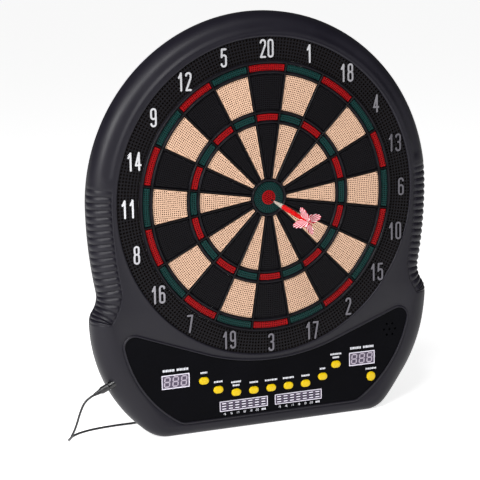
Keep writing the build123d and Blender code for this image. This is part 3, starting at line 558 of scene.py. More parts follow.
def walk(start, heading, runs):
    """A path of arcs and straights, given as (radius, degrees) or (None, length). A positive radius turns
    right. Returns its length, a function from a distance along it to a point and the outward normal, and
    where each run starts."""
    pieces = []
    x, z = start
    done = 0.0
    for radius, amount in runs:
        if radius is None:
            pieces.append((done, amount, None, (x, z), heading))
            x, z = x + amount * cos(heading), z + amount * sin(heading)
            done += amount
        else:
            centre = (x + radius * sin(heading), z - radius * cos(heading))
            length = abs(radius) * math.radians(amount)
            pieces.append((done, length, radius, centre, heading))
            heading -= amount if radius > 0 else -amount
            x, z = centre[0] - radius * sin(heading), centre[1] + radius * cos(heading)
            done += length

    def along(distance):
        begun, _, radius, point, facing = [p for p in pieces if p[0] <= distance + 1e-9][-1]
        gone = distance - begun
        if radius is None:
            x, z = point[0] + gone * cos(facing), point[1] + gone * sin(facing)
            return (x, z), (sin(facing), -cos(facing))
        facing -= math.degrees(gone / radius)
        normal = (sin(facing), -cos(facing))
        return (point[0] - radius * normal[0], point[1] - radius * normal[1]), normal

    return done, along, [p[0] for p in pieces]


half_length, outline_at, starts = walk(
    (0, RIM_R), 0,
    [(RIM_R, 90), (FLANK_R, FLANK_TURN), (-WAIST_R, FLANK_TURN + WAIST_TURN), (SHOULDER_R, WAIST_TURN),
     (LOBE_R, LOBE_TURN), (CORNER_R, 90 - LOBE_TURN), (None, FOOT_X)],
)
_, FLANK_FROM, WAIST_FROM, SHOULDER_FROM, LOBE_FROM, CORNER_FROM, FOOT_FROM = starts

# Grips: rounded ridges across the roll, closer together round the waist and shoulder
RIDGE = 9.0
RIDGE_CLOSE = 6.0
RIDGE_DEPTH = 1.7
GRIP_FROM = FLANK_FROM - 36.0
GRIP_TO = LOBE_FROM + 4.0
GRIP_SHORT = 2.0
RIDGE_STEPS = 10
COARSE_STEP, LOWER_STEP, FOOT_STEPS = 3.0, 2.5, 24


def ridges_by(distance):
    """How many ridges lie between the grip's upper end and a place on the outline."""
    spread = min(distance, WAIST_FROM) - GRIP_FROM
    return spread / RIDGE + max(0.0, distance - WAIST_FROM) / RIDGE_CLOSE


def spread_places():
    """Places along half the outline: fine across the grip, coarser elsewhere."""
    places = []
    fine = int(ridges_by(GRIP_TO) * RIDGE_STEPS)
    for k in range(fine + 1):
        ridges = k / RIDGE_STEPS
        upper = ridges_by(WAIST_FROM)
        if ridges <= upper:
            places.append(GRIP_FROM + ridges * RIDGE)
        else:
            places.append(WAIST_FROM + (ridges - upper) * RIDGE_CLOSE)
    coarse = int(GRIP_FROM / COARSE_STEP)
    places += [GRIP_FROM * i / coarse for i in range(coarse)]
    low = places[fine]
    rest = int((FOOT_FROM - low) / LOWER_STEP)
    places += [low + (FOOT_FROM - low) * i / rest for i in range(1, rest + 1)]
    foot = (half_length - FOOT_FROM) / FOOT_STEPS
    places += [FOOT_FROM + foot * i for i in range(1, FOOT_STEPS)] + [half_length]
    return sorted(places)


PLACES = spread_places()
ROLL_W, ROLL_DEPTH, FLAT_W = 27.0, 24.5, 28.0
FOOT_ROLL_W, FOOT_ROLL_DEPTH, FOOT_FLAT_W = 9.0, 9.0, 12.0
BEAD_H = 0.9
FACE = span("front_housing")[0].y + BEAD_H
WALL = 2.5
EDGE_BREAK = 0.5
SHOULDER_NARROW = 4.2


def roll_size(distance):
    """Roll width, roll depth and width up to the flat face, at a place on the outline."""
    share = smooth(CORNER_FROM - 45, FOOT_FROM + 4, distance)
    near = SHOULDER_NARROW * smooth(SHOULDER_FROM - 30, SHOULDER_FROM - 2, distance)
    near *= 1 - smooth(LOBE_FROM + 2, LOBE_FROM + 30, distance)
    pairs = ((ROLL_W - near, FOOT_ROLL_W), (ROLL_DEPTH, FOOT_ROLL_DEPTH), (FLAT_W - near, FOOT_FLAT_W))
    return [a + (b - a) * share for a, b in pairs]


STEP_DROP = 1.7
STEP_FROM, STEP_TO, STEP_END = 1.5, 7.5, 19.0
ROLL_TURNS = [0, 3, 5, 6.5, 8, 10, 12.5, 15.5, 19, 23, 27.5, 32, 37, 43, 49, 55, 61, 67, 73, 79, 85, 90]
SIDE_SHARES = [0.15, 0.3, 0.5, 0.7, 0.88]


def step_drop(distance, out):
    """How far the ledge round the number ring sinks the roll, at a distance outward from the flat."""
    fade = 1 - smooth(GRIP_FROM - 14, GRIP_FROM, distance)
    return STEP_DROP * fade * (smooth(STEP_FROM, STEP_TO, out) - smooth(STEP_TO, STEP_END, out))


def profile(distance, thin=0.0):
    """The section through the edge, from the flat to the back, as rows of inset, depth, outward inset and
    outward depth. thin sets it inside the outer skin."""
    roll, deep, flat = roll_size(distance)
    rows = [(edge, FACE + thin, 0, -1) for edge in (flat, (flat + roll) / 2)]
    for angle in ROLL_TURNS:
        out = (roll - thin) * sin(angle)
        depth = FACE + deep - (deep - thin) * cos(angle) + step_drop(distance, out)
        rows.append((roll - out, depth, -sin(angle), -cos(angle)))
    start = FACE + deep
    for share in SIDE_SHARES:
        rows.append((thin, start + (COVER_Y - start) * share, -1, 0))
    rows.append((thin, COVER_Y - EDGE_BREAK, -1, 0))
    return rows


def ridge_drop(distance, inset, depth):
    """How far the surface is sunk between the ridges of the grip, from the place and the section's point."""
    if not GRIP_FROM <= distance <= GRIP_TO:
        return 0.0
    ridges = ridges_by(distance)
    off = 2 * (ridges - math.floor(ridges)) - 1
    radius = RIDGE / 2
    run = roll_size(distance)[2] - GRIP_SHORT - inset
    if run < 0:
        return 0.0
    end = max(0.0, (radius - run) / radius)
    crown = max(0.0, 1 - off * off - end * end)
    last = ridges_by(GRIP_TO)
    fade = smooth(0, 2.5, ridges) * (1 - smooth(last - 2.0, last, ridges))
    fade *= 1 - smooth(COVER_Y - 9, COVER_Y - 2, depth)
    return RIDGE_DEPTH * fade * (1 - crown)


def both_sides(half):
    """A closed loop from the points of the right half, top to bottom."""
    return half + [(-x, y, z) for x, y, z in half[-2:0:-1]]


def section_loops(thin, ridged):
    """The edge's rows as closed loops of points."""
    columns = []
    for distance in PLACES:
        (x, z), normal = outline_at(distance)
        column = []
        for inset, depth, out, ahead in profile(distance, thin):
            drop = ridge_drop(distance, inset, depth) if ridged else 0.0
            inset, depth = inset - drop * out, depth - drop * ahead
            column.append((x + normal[0] * inset, depth, BOARD_Z + z + normal[1] * inset))
        columns.append(column)
    return [both_sides(list(row)) for row in zip(*columns)]


# Panel outline, from the top of its arch clockwise
PANEL_DROP = 216.5
PANEL_TOP_R = 276.7
PANEL_ARC_X = 95.0
PANEL_SIDE = 34.0
PANEL_BASE = 17.5
PANEL_CORNER_R = 13.0
PANEL_FOOT_R = 20.0


def panel_walk():
    """The right half of the panel's outline as a path."""
    rise = math.degrees(math.asin(PANEL_ARC_X / PANEL_TOP_R))
    top = (PANEL_ARC_X, -PANEL_DROP + PANEL_TOP_R * (1 - cos(rise)))
    side = LOBE_R - PANEL_SIDE
    inner = side - PANEL_CORNER_R
    # The corner's centre is its radius below the straight top edge and inside the side's circle
    base = (top[0] + PANEL_CORNER_R * sin(rise), top[1] - PANEL_CORNER_R * cos(rise))
    gap = (base[0] - LOBE_X, base[1] - SHOULDER_Z)
    middle = gap[0] * cos(rise) + gap[1] * sin(rise)
    run = -middle + math.sqrt(middle**2 - gap[0] ** 2 - gap[1] ** 2 + inner**2)
    centre = (base[0] + run * cos(rise), base[1] + run * sin(rise))
    leave = math.degrees(math.atan2(centre[1] - SHOULDER_Z, centre[0] - LOBE_X))
    foot_z = PANEL_BASE - BOARD_Z + PANEL_FOOT_R
    foot_x = LOBE_X + math.sqrt((side - PANEL_FOOT_R) ** 2 - (foot_z - SHOULDER_Z) ** 2)
    arrive = math.degrees(math.atan2(foot_z - SHOULDER_Z, foot_x - LOBE_X))
    return walk(
        (0, -PANEL_DROP), 0,
        [(-PANEL_TOP_R, rise), (None, run), (PANEL_CORNER_R, rise + 90 - leave), (side, leave - arrive),
         (PANEL_FOOT_R, 90 + arrive), (None, foot_x)],
    )


panel_length, panel_at, panel_starts = panel_walk()


def panel_loop(grow, y):
    """The panel's outline grown by a distance, at a depth."""
    places = []
    ends = panel_starts[1:] + [panel_length]
    for start, end, count in zip(panel_starts, ends, (30, 6, 14, 24, 14, 10)):
        places += [start + (end - start) * i / count for i in range(count)]
    half = []
    for distance in places + [panel_length]:
        (x, z), normal = panel_at(distance)
        half.append((x - normal[0] * grow, y, BOARD_Z + z - normal[1] * grow))
    return both_sides(half)


RING_R = 207.5
RIM_STEPS = 240
LIP = [(4.3, 0), (3.3, -0.35), (2.2, -0.5), (1.0, -0.3), (0.2, 0.3), (0.0, 1.0), (0.0, WALL)]
BEAD = [
    (3.8, 0.0), (3.4, 0.35), (2.9, 0.6), (2.5, 0.5), (2.2, -0.1), (1.8, -0.7),
    (1.2, -BEAD_H), (0.6, -BEAD_H), (0.2, -0.6), (0.0, 0.0), (0.0, WALL),
]

shell = Solid()
outer = [shell.loop(points) for points in section_loops(0.0, True)]
inner = [shell.loop(points) for points in section_loops(WALL, False)]
lip = rounds(shell, RING_R, RIM_STEPS, [(grow, FACE + drop) for grow, drop in LIP])
bead = [shell.loop(panel_loop(grow, FACE + drop)) for grow, drop in BEAD]
rear_out = [
    shell.loop(both_sides([
        (x + n[0] * inset, COVER_Y, BOARD_Z + z + n[1] * inset)
        for (x, z), n in (outline_at(distance) for distance in PLACES)
    ]))
    for inset in (EDGE_BREAK, WALL - EDGE_BREAK)
]
shell.fill(outer[0], [lip[0], bead[0]])
shell.tunnel([*outer, rear_out[0], rear_out[1], *inner[::-1]])
shell.fill(inner[0], [lip[-1], bead[-1]])
shell.tunnel(lip)
shell.tunnel(bead)
shell.piece("housing_shell", "root", "housing", ("front_housing",), crease=50)


# Web and segments
WEB_RINGS = [23.0, 98.3, 111.6, 162.2, 175.6]
SPOKE_EDGE = 1.95
RING_EDGE = 2.55
HOLE_PITCH = 2.65
HOLE_R = 0.84
HOLE_SIDES = 6
HOLE_DEPTH = 2.4
HOLE_MARGIN = 1.45
CELL_NAMES = ("inner_single", "triple", "outer_single", "double")


def half_angle(radius, edge):
    """Half the angle of a cell at a radius, this far from the middle lines of its spokes."""
    return STEP / 2 - math.degrees(math.asin(edge / radius))


def cell(ring, ring_edge, spoke_edge, turn):
    """The outline of one cell of the web, this far inside its rings and spokes."""
    low, high = WEB_RINGS[ring] + ring_edge, WEB_RINGS[ring + 1] - ring_edge
    loop = []
    for radius, count, way in ((low, 4 + 2 * ring, 1), (high, 8 + 4 * ring, -1)):
        wide = half_angle(radius, spoke_edge)
        loop += [polar(radius, turn - way * wide + way * 2 * wide * i / count) for i in range(count + 1)]
    return loop


def cell_holes(ring, turn):
    """The centres of one segment's holes: rows across it, in columns along it."""
    low = WEB_RINGS[ring] + RING_EDGE + HOLE_MARGIN
    high = WEB_RINGS[ring + 1] - RING_EDGE - HOLE_MARGIN
    rows = int((high - low) / HOLE_PITCH)
    start = (low + high - rows * HOLE_PITCH) / 2
    places = []
    for row in range(rows + 1):
        radius = start + row * HOLE_PITCH
        wide = radius * math.radians(half_angle(radius, SPOKE_EDGE)) - HOLE_MARGIN
        count = int(wide / HOLE_PITCH)
        for column in range(-count, count + 1):
            places.append(polar(radius, turn + math.degrees(column * HOLE_PITCH / radius)))
    return places


def pitted(made, edge, mouths, floors, bore=()):
    """Closes a plate from its loops, front to back: its edge, its blind holes and maybe a bore."""
    made.fill(edge[0], [*bore[:1], *mouths])
    made.tunnel(edge)
    made.tunnel(bore)
    if bore:
        made.fill(edge[-1], [bore[-1]])
    else:
        made.cap(edge[-1])
    for mouth, floor in zip(mouths, floors):
        made.pit(mouth, floor)
    return made


def drilled(made, outlines, depth):
    """The mouths and floors of blind holes in the front of a segment, as loops."""
    return [[made.loop(at(outline, y)) for outline in outlines] for y in (SEGMENT_Y, SEGMENT_Y + depth)]


def pin_holes(centres):
    return [circle(HOLE_R, HOLE_SIDES, centre) for centre in centres]


SEGMENT_LEVELS = [SEGMENT_Y, SEGMENT_Y + 0.25, SEGMENT_Y + 0.7, SEGMENT_REAR]
SEGMENT_INSETS = [0.45, 0.15, 0.0, 0.0]
SINGLE_SLOTS = ("segment_black", "segment_cream")
RING_SLOTS = ("ring_red", "ring_green")
for index, number in enumerate(NUMBERS):
    turn = index * STEP
    body, whole = f"number_{number:02d}", f"segment_{number:02d}"
    for ring, name in enumerate(CELL_NAMES):
        slot = (SINGLE_SLOTS if "single" in name else RING_SLOTS)[index % 2]
        plate = Solid()
        edge = [
            plate.loop(at(cell(ring, RING_EDGE + inset, SPOKE_EDGE + inset, turn), y))
            for inset, y in zip(SEGMENT_INSETS, SEGMENT_LEVELS)
        ]
        # The segments' blind holes are lined with painted shade
        pitted(plate, edge, *drilled(plate, pin_holes(cell_holes(ring, turn)), HOLE_DEPTH)).piece(
            f"{name}_{number:02d}", body, slot, (whole,), inside=HOLE_PAINTED_SHADE)

# Bulls
DART_AT = (4.5, -4.0)
BULL_OUT = WEB_RINGS[0] - RING_EDGE
BULL_IN = BULL_R + 0.3
BULL_ROWS = 5
BULL_MARGIN = 1.5
bull_holes = []
for row in range(BULL_ROWS):
    radius = BULL_IN + BULL_MARGIN + row * (BULL_OUT - BULL_IN - 2 * BULL_MARGIN) / (BULL_ROWS - 1)
    bull_holes += circle(radius, round(2 * math.pi * radius / HOLE_PITCH), turn=row * 3.0)
plate = Solid()
edge = rounds(plate, BULL_OUT, 96, zip((-0.6, -0.15, 0, 0), SEGMENT_LEVELS))
bore = rounds(plate, BULL_IN, 64, zip((0.4, 0.1, 0, 0), SEGMENT_LEVELS))
pitted(plate, edge, *drilled(plate, pin_holes(bull_holes), HOLE_DEPTH), bore).piece(
    "bull_ring", "outer_bull", "ring_green", ("outer_bull",), inside=HOLE_PAINTED_SHADE)

# The red centre's holes keep away from the dart's point, which has a hole of its own
DART_CLEAR = 2.6
CENTRE_DEPTH = HOLE_DEPTH + 1.2
centres = [(0.0, 0.0)] + circle(2.7, 6) + circle(5.2, 12) + circle(7.2, 16)
holes = pin_holes([c for c in centres if math.dist(c, DART_AT) > DART_CLEAR]) + [circle(1.6, 14, DART_AT)]
plate = Solid()
edge = rounds(plate, BULL_R, 64, zip((-0.5, -0.1, 0, 0), SEGMENT_LEVELS))
pitted(plate, edge, *drilled(plate, holes, CENTRE_DEPTH)).piece(
    "bull_centre", "inner_bull", "ring_red", ("inner_bull",), inside=HOLE_PAINTED_SHADE)

# Web: a narrow flat crest, sloping sides and a straight foot, as half widths of rings, of spokes and depths
WEB_SECTION = [(0.5, 0.42, 0.0), (0.85, 0.7, 0.2), (1.4, 1.0, 1.0), (2.3, 1.7, 2.6), (2.3, 1.7, 4.0)]
web = Solid()
rows = [FRONT + drop for _, _, drop in WEB_SECTION]
cells = []
for index in range(len(NUMBERS)):
    for ring in range(len(CELL_NAMES)):
        cells.append([
            web.loop(at(cell(ring, wide, narrow, index * STEP), y))
            for (wide, narrow, _), y in zip(WEB_SECTION, rows)
        ])
halves = [wide for wide, _, _ in WEB_SECTION]
cells.append(rounds(web, WEB_RINGS[0], 120, [(-wide, y) for wide, y in zip(halves, rows)]))
rim = rounds(web, WEB_RINGS[-1], 360, zip(halves, rows))
for row in (0, -1):
    web.fill(rim[row], [loops[row] for loops in cells])
for loops in [*cells, rim]:
    web.tunnel(loops)
web.piece("web", "root", "web", ("spider",))

# Number ring: a raised lattice round square holes
RING_IN = WEB_RINGS[-1] + 2.7
RING_OUT = RING_R - 0.3
LATTICE_PITCH = 4.2
LATTICE_ROWS = 7
LATTICE_HOLE = 2.7
LATTICE_DEPTH = 2.2
RING_BACK = RING_Y + 3.0
LATTICE_DRAFT = 0.5
lattice = Solid()
edge = rounds(lattice, RING_OUT, 360, ((-0.4, RING_Y), (0, RING_Y + 0.4), (0, RING_BACK)))
bore = rounds(lattice, RING_IN, 360, ((0.3, RING_Y), (0, RING_Y + 0.3), (0, RING_BACK)))
first = (RING_IN + RING_OUT - (LATTICE_ROWS - 1) * LATTICE_PITCH) / 2
around = round(2 * math.pi * (RING_IN + RING_OUT) / 2 / LATTICE_PITCH)


def square(radius, turn, size):
    """A square hole of the lattice, as board points."""
    wide = math.degrees(size / 2 / radius)
    corners = ((-1, -1), (-1, 1), (1, 1), (1, -1))
    return [polar(radius + a * size / 2, turn + b * wide) for a, b in corners]


places = [(first + row * LATTICE_PITCH, 360 * column / around)
          for row in range(LATTICE_ROWS) for column in range(around)]
mouths, floors = (
    [lattice.loop(at(square(radius, turn, size), y)) for radius, turn in places]
    for size, y in ((LATTICE_HOLE, RING_Y), (LATTICE_HOLE - LATTICE_DRAFT, RING_Y + LATTICE_DEPTH))
)
# The lattice's holes are lined with painted shade
pitted(lattice, edge, mouths, floors, bore).piece(
    "number_lattice", "root", "ring_black", ("number_ring",), inside=HOLE_PAINTED_SHADE)


# Direction and reach of the painted reflection across the numerals
FADE_TURN = 52.0
FADE_REACH = 0.2


def silver_painted_reflection():
    """Plated plastic with a painted reflection: its colour goes from bright at the upper left to dark at the
    lower right.
    """
    made = finish("numeral_silver", tint(205, 205, 212), 0.24, metal=1.0, swing=0.08, mottle=60,
                  bump=0.004)
    tree = made.node_tree
    spot = node(tree, "ShaderNodeTexCoord").outputs["Object"]
    across = node(tree, "ShaderNodeVectorMath", [(0, spot)], operation="DOT_PRODUCT")
    across.inputs[1].default_value = (cos(FADE_TURN), 0, -sin(FADE_TURN))
    bull = -BOARD_Z * MM * sin(FADE_TURN)
    share = node(tree, "ShaderNodeMapRange", [("Value", across.outputs["Value"])],
                 From_Min=bull - FADE_REACH, From_Max=bull + FADE_REACH)
    shades = (tint(228, 228, 232), tint(158, 156, 162), tint(104, 102, 108))
    return tinted(made, share.outputs[0], zip((0.22, 0.42, 0.62), shades))


# Numerals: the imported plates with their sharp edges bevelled
BEVEL = 1.0
data = frame["nodes"]["numerals"].data.copy()
data.name = "number_plates"
data.materials.clear()
work = bmesh.new()
work.from_mesh(data)
bmesh.ops.remove_doubles(work, verts=work.verts, dist=1e-6)
bmesh.ops.dissolve_limit(work, angle_limit=math.radians(1), verts=work.verts, edges=work.edges)
work.to_mesh(data)
work.free()
plates = bpy.data.objects.new("number_plates", data)
place(plates, "root", "silver", ("numerals",), silver_painted_reflection())
edges = plates.modifiers.new("edges", "BEVEL")
edges.width = BEVEL * MM
edges.segments = 3
edges.limit_method = "ANGLE"
edges.angle_limit = math.radians(50)
edges.use_clamp_overlap = True
data.shade_smooth()
data.set_sharp_from_angle(angle=math.radians(40))

# Control panel
SEVEN = [
    (False, 0.5, 1.0), (False, 0.5, 0.5), (False, 0.5, 0.0),
    (True, 0.0, 0.75), (True, 1.0, 0.75), (True, 0.0, 0.25), (True, 1.0, 0.25),
]
LIT = {
    "0": (0, 2, 3, 4, 5, 6), "1": (4, 6), "2": (0, 1, 2, 4, 5), "5": (0, 1, 2, 3, 6),
    "6": (0, 1, 2, 3, 5, 6), "7": (0, 4, 6), "8": (0, 1, 2, 3, 4, 5, 6), "9": (0, 1, 2, 3, 4, 6),
}
SLANT = 0.1
BAR_GAP = 0.15


def seven(digit, centre, width, height, stroke):
    """The bars of a seven-segment digit, as outlines."""
    bars = []
    for upright, x, z in (SEVEN[i] for i in LIT[digit]):
        long = (height / 2 if upright else width) / 2 - stroke * BAR_GAP
        half = stroke / 2
        end = [(-long, 0), (-long + half, half), (long - half, half)]
        points = []
        for a, b in end + [(-a, -b) for a, b in end]:
            across, up = (b, a) if upright else (a, b)
            up += (z - 0.5) * height
            points.append((centre[0] + (x - 0.5) * width + across + SLANT * up, centre[1] + up))
        bars.append(points)
    return bars


DASH_WIDTHS = [1.7, 1.2, 1.9, 1.4, 1.1, 1.8, 1.3]
DASH_GAP = 0.55


def dashes(centre, width, height):
    """A row of short blocks that stands where a word would be printed."""
    blocks, run = [], 0.0
    for block in itertools.cycle(DASH_WIDTHS):
        if run + block > width:
            break
        blocks.append((run, block))
        run += block + DASH_GAP
    left = centre[0] - (run - DASH_GAP) / 2
    return [box_outline(block, height, 0.25, (left + x + block / 2, centre[1]), 2) for x, block in blocks]


def prisms(outlines, front, back):
    """One solid from flat outlines measured from the base."""
    made = Solid()
    for outline in outlines:
        one = made.loop(grounded(outline, front))
        other = made.loop(grounded(outline, back))
        made.cap(one)
        made.wall(one, other)
        made.cap(other)
    return made


def frames(outlines, front, back):
    """One solid from (outer, inner) outlines with the same count of points."""
    made = Solid()
    for outer_loop, inner_loop in outlines:
        loops = [made.loop(grounded(outer_loop, back)), made.loop(grounded(outer_loop, front)),
                 made.loop(grounded(inner_loop, front)), made.loop(grounded(inner_loop, back))]
        made.tunnel([*loops, loops[0]])
    return made


def windows(node, wide):
    """Centre, width and height of the left and the right window of a display node."""
    low, high = span(node)
    height = high.z - low.z
    return [((x, (low.z + high.z) / 2), wide, height) for x in (low.x + wide / 2, high.x - wide / 2)]


SCORES = windows("digit_displays", 38.6)
TALLIES = windows("cricket_displays", 68.6)
SCORE_FRAME, TALLY_FRAME = 1.3, 1.0
TALLY_COLUMNS = 7
modules, borders, bars, wells, ticks, legends = [], [], [], [], [], []
for places, frame_w in ((SCORES, SCORE_FRAME), (TALLIES, TALLY_FRAME)):
    for centre, wide, high in places:
        outline = box_outline(wide, high, 0.4, centre, 2)
        window = box_outline(wide - 2 * frame_w, high - 2 * frame_w, 0.2, centre, 2)
        modules.append(outline)
        borders.append((outline, window))
for (x, z), _, _ in SCORES:
    for side in (-1, 0, 1):
        bars += seven("8", (x + side * 11.6, z), 7.0, 12.4, 1.8)
    for side in (-1, 1):
        legends += dashes((x + side * 9.6, z + 15.3), 16.5, 3.2)
for (middle_x, z), wide, high in TALLIES:
    pitch = (wide - 3) / TALLY_COLUMNS
    below = z - high / 2 - 3.4
    for column in range(TALLY_COLUMNS):
        x = middle_x + (column - TALLY_COLUMNS // 2) * pitch
        wells.append(box_outline(pitch - 2.6, high - 3.4, 0.5, (x, z), 2))
        for row in (-1, 0, 1):
            ticks.append(box_outline(pitch - 3.6, 1.3, 0.3, (x, z + row * 3.6), 2))
        if column == TALLY_COLUMNS - 1:
            legends += dashes((x, below), 6.5, 2.6)
            continue
        for side, digit in zip((-1, 1), str(15 + column)):
            legends += seven(digit, (x + side * 1.25, below), 1.4, 2.6, 0.6)
LIFT = 0.15
prisms(modules, DISPLAY_Y + LIFT, DISPLAY_REAR).piece(
    "display_modules", "root", "display", ("digit_displays", "cricket_displays"))
UNDER, MIDDLE = DISPLAY_Y + 2 * LIFT, DISPLAY_Y + LIFT / 2
frames(borders, DISPLAY_Y, UNDER).piece("display_borders", "root", material=FRAME_WHITE)
prisms(wells, MIDDLE, UNDER).piece("display_wells", "root", material=DISPLAY_DARK)
prisms(bars, MIDDLE, UNDER).piece("display_digits", "root", material=SEGMENT_GREY)
prisms(ticks, DISPLAY_Y, UNDER).piece("display_ticks", "root", material=FRAME_WHITE)


LABELS = {
    "game": [10], "option": [12.5], "player": [10, 14], "double": [12.5], "match": [20], "handicap": [17],
    "sound": [13], "miss": [8.5], "team": [10.5, 17], "start": [17.5],
}
LABEL_H = 2.4
for name, widths in LABELS.items():
    spot = middle("button_" + name)
    for row, width in enumerate(widths):
        lift = (10.8 if len(widths) == 1 else 9.6) + row * 4.6
        legends += dashes((spot.x, spot.z + lift), width, LABEL_H)
PRINT_T = 0.06
prisms(legends, LENS_Y - PRINT_T, LENS_Y + 0.1).piece("panel_print", "root", material=PRINT)

# Buttons: domed caps with a skirt behind the lens
DOME = [(5.5, 0.0), (3.6, 0.03), (2.2, 0.12), (1.2, 0.32), (0.55, 0.65), (0.18, 1.05), (0.0, 1.5)]
SKIRT_W, SKIRT_T = 1.4, 1.2
FLAT_TOP = 0.4
for button in BUTTONS:
    low, high = span(button)
    wide, tall = high.x - low.x, high.z - low.z
    centre = ((low.x + high.x) / 2, (low.z + high.z) / 2)
    shrink = min(1.0, (tall / 2 - SKIRT_W - FLAT_TOP) / DOME[0][0])
    steps = [(SKIRT_W + inset * shrink, low.y + drop) for inset, drop in DOME]
    steps += [(SKIRT_W, high.y - SKIRT_T), (0, high.y - SKIRT_T), (0, high.y)]
    made = Solid()
    loops = [made.loop(grounded(oval(wide - 2 * inset, tall - 2 * inset, centre), y)) for inset, y in steps]
    made.tunnel(loops)
    made.cap(loops[0])
    made.cap(loops[-1])
    name = button.replace("button", "cap")
    made.piece(name, button, "button_yellow", (button,))

# Dart
DROOP = 6.0
DART_AXIS = Vector((0, -cos(DROOP), -sin(DROOP)))
DART_FACE = Vector((DART_AT[0], SEGMENT_Y, BOARD_Z + DART_AT[1]))
TIP_IN, TIP_OUT, BARREL_END, SHAFT_END = -5.0, 24.0, 72.0, 106.0

COLLAR_FROM, COLLAR_TO = 8.0, 36.0


def turned(name, outline, count, slot, replaces=(), material=None):
    """A turned piece of the dart, from radii and distances out along its axis."""
    stand(revolve(outline, count), DART_FACE, DART_AXIS).piece(name, "dart", slot, replaces, material)


tip = [
    (0, TIP_IN + 0.2), (0.5, TIP_IN + 0.5), (1.0, TIP_IN + 6), (1.1, TIP_OUT - 12), (1.1, TIP_OUT),
    (0, TIP_OUT),
]
turned("dart_point", tip, 24, "dart_tip", ("dart_tip",))
collar = [
    (0, COLLAR_FROM), (1.2, COLLAR_FROM), (1.35, 9.0), (2.0, 16.0), (2.7, 26.0), (3.0, 34.5), (2.8, 35.6),
    (2.3, COLLAR_TO), (0, COLLAR_TO),
]
turned("dart_collar", collar, 32, "nickel", material=DART_SILVER)
grip = [(0, COLLAR_TO - 0.4), (2.4, COLLAR_TO - 0.4), (3.1, COLLAR_TO + 0.4)]
for rib in range(9):
    start = 38.0 + rib * 2.4
    grip += [(3.3, start), (3.3, start + 1.5), (2.9, start + 1.75), (2.9, start + 2.15)]
grip += [
    (3.2, 60.5), (2.7, 62.3), (2.7, 63.7), (3.2, 65.5), (3.2, 69.0), (2.5, BARREL_END - 0.2),
    (0, BARREL_END),
]
turned("dart_grip", grip, 40, "dart_red", ("dart_barrel",))
stem = [
    (0, BARREL_END - 1), (2.2, BARREL_END - 1), (2.9, 73.0), (3.0, 74.6), (2.5, 75.8), (2.9, 77.2),
    (2.9, 86.0), (2.5, 92.0), (1.9, 97.0), (1.6, 102.0), (1.3, SHAFT_END - 1), (0, SHAFT_END),
]
turned("dart_stem", stem, 28, "dart_red", ("dart_shaft",))

# Flight: four vanes with scalloped edges and rippled petals
FLIGHT_MID, FLIGHT_HALF, FLIGHT_R = 107.5, 14.0, 18.4
ROOT_HALF = 7.0
VANE_TURN = 20.0
PETALS = 7
SCALLOP = 0.07
STEM_R = 1.0
VANE_T, EDGE_T = 0.3, 0.08
RIPPLE = 0.35
VANE_STEPS, VANE_RINGS = 90, 8


def vane_edge(turn):
    """A vane's scalloped edge, as (reach, place along the stem), from its front round to its tail."""
    scallop = 1 + SCALLOP * (abs(sin(PETALS * turn)) - 0.5)
    reach = STEM_R + (FLIGHT_R - STEM_R) * scallop * sin(turn) ** 0.8
    return reach, FLIGHT_MID - FLIGHT_HALF * scallop * cos(turn)


vanes = Solid()
petal = []
for vane in range(4):
    turn = VANE_TURN + 90 * vane
    across = Vector((cos(turn), sin(turn), 0))
    flat = Vector((-sin(turn), cos(turn), 0))
    grid = {}
    for face in (1, -1):
        for i in range(VANE_STEPS + 1):
            reach, along = vane_edge(180 * i / VANE_STEPS)
            root = FLIGHT_MID + ROOT_HALF * (2 * i / VANE_STEPS - 1)
            for j in range(VANE_RINGS + 1):
                share = j / VANE_RINGS
                out = STEM_R + (reach - STEM_R) * share
                thick = VANE_T if 0 < i < VANE_STEPS and j < VANE_RINGS else EDGE_T
                ripple = RIPPLE * share * sin(2 * PETALS * 180 * i / VANE_STEPS)
                point = across * out + flat * (ripple + face * thick / 2)
                point.z = root + (along - root) * share
                grid[face, i, j] = vanes.loop([point])[0]
                petal.append(2 * math.pi * PETALS * i / VANE_STEPS)
    for face in (1, -1):
        for i in range(VANE_STEPS):
            for j in range(VANE_RINGS):
                corners = ((i, j), (i + 1, j), (i + 1, j + 1), (i, j + 1))
                vanes.faces.append(tuple(grid[face, a, b] for a, b in corners))
    border = [(i, 0) for i in range(VANE_STEPS)]
    border += [(VANE_STEPS, j) for j in range(VANE_RINGS)]
    border += [(i, VANE_RINGS) for i in range(VANE_STEPS, 0, -1)]
    border += [(0, j) for j in range(VANE_RINGS, 0, -1)]
    vanes.wall([grid[1, i, j] for i, j in border], [grid[-1, i, j] for i, j in border])
stand(vanes, DART_FACE, DART_AXIS)


def swirl():
    """Printed film with red, pink and white petals that fan out from the stem."""
    made = finish("flight_film", tint(240, 120, 130), 0.3, bump=0, spread=0.05)
    tree = made.node_tree
    phase = node(tree, "ShaderNodeAttribute", attribute_name="petal").outputs["Fac"]
    wave = node(tree, "ShaderNodeMath", [(0, phase)], operation="SINE")
    shift = node(tree, "ShaderNodeMapRange", [("Value", wave.outputs[0])], From_Min=-1.0, From_Max=1.0)
    shades = (tint(168, 18, 42), tint(208, 84, 106), tint(246, 218, 222))
    return tinted(made, shift.outputs[0], zip((0.2, 0.5, 0.8), shades))


flight = vanes.piece("dart_vanes", "dart", "flight", ("dart_flight",), swirl(), crease=60)
phase = flight.data.attributes.new("petal", "FLOAT", "POINT")
phase.data.foreach_set("value", petal)

# Back: screw heads with a cross recess
RECESS_W, RECESS_L, RECESS_DEPTH, RECESS_TAPER = 0.9, 3.4, 1.1, 0.8
HEAD = [(0, 1.6), (0, 0.55), (0.35, 0.15), (0.8, 0)]


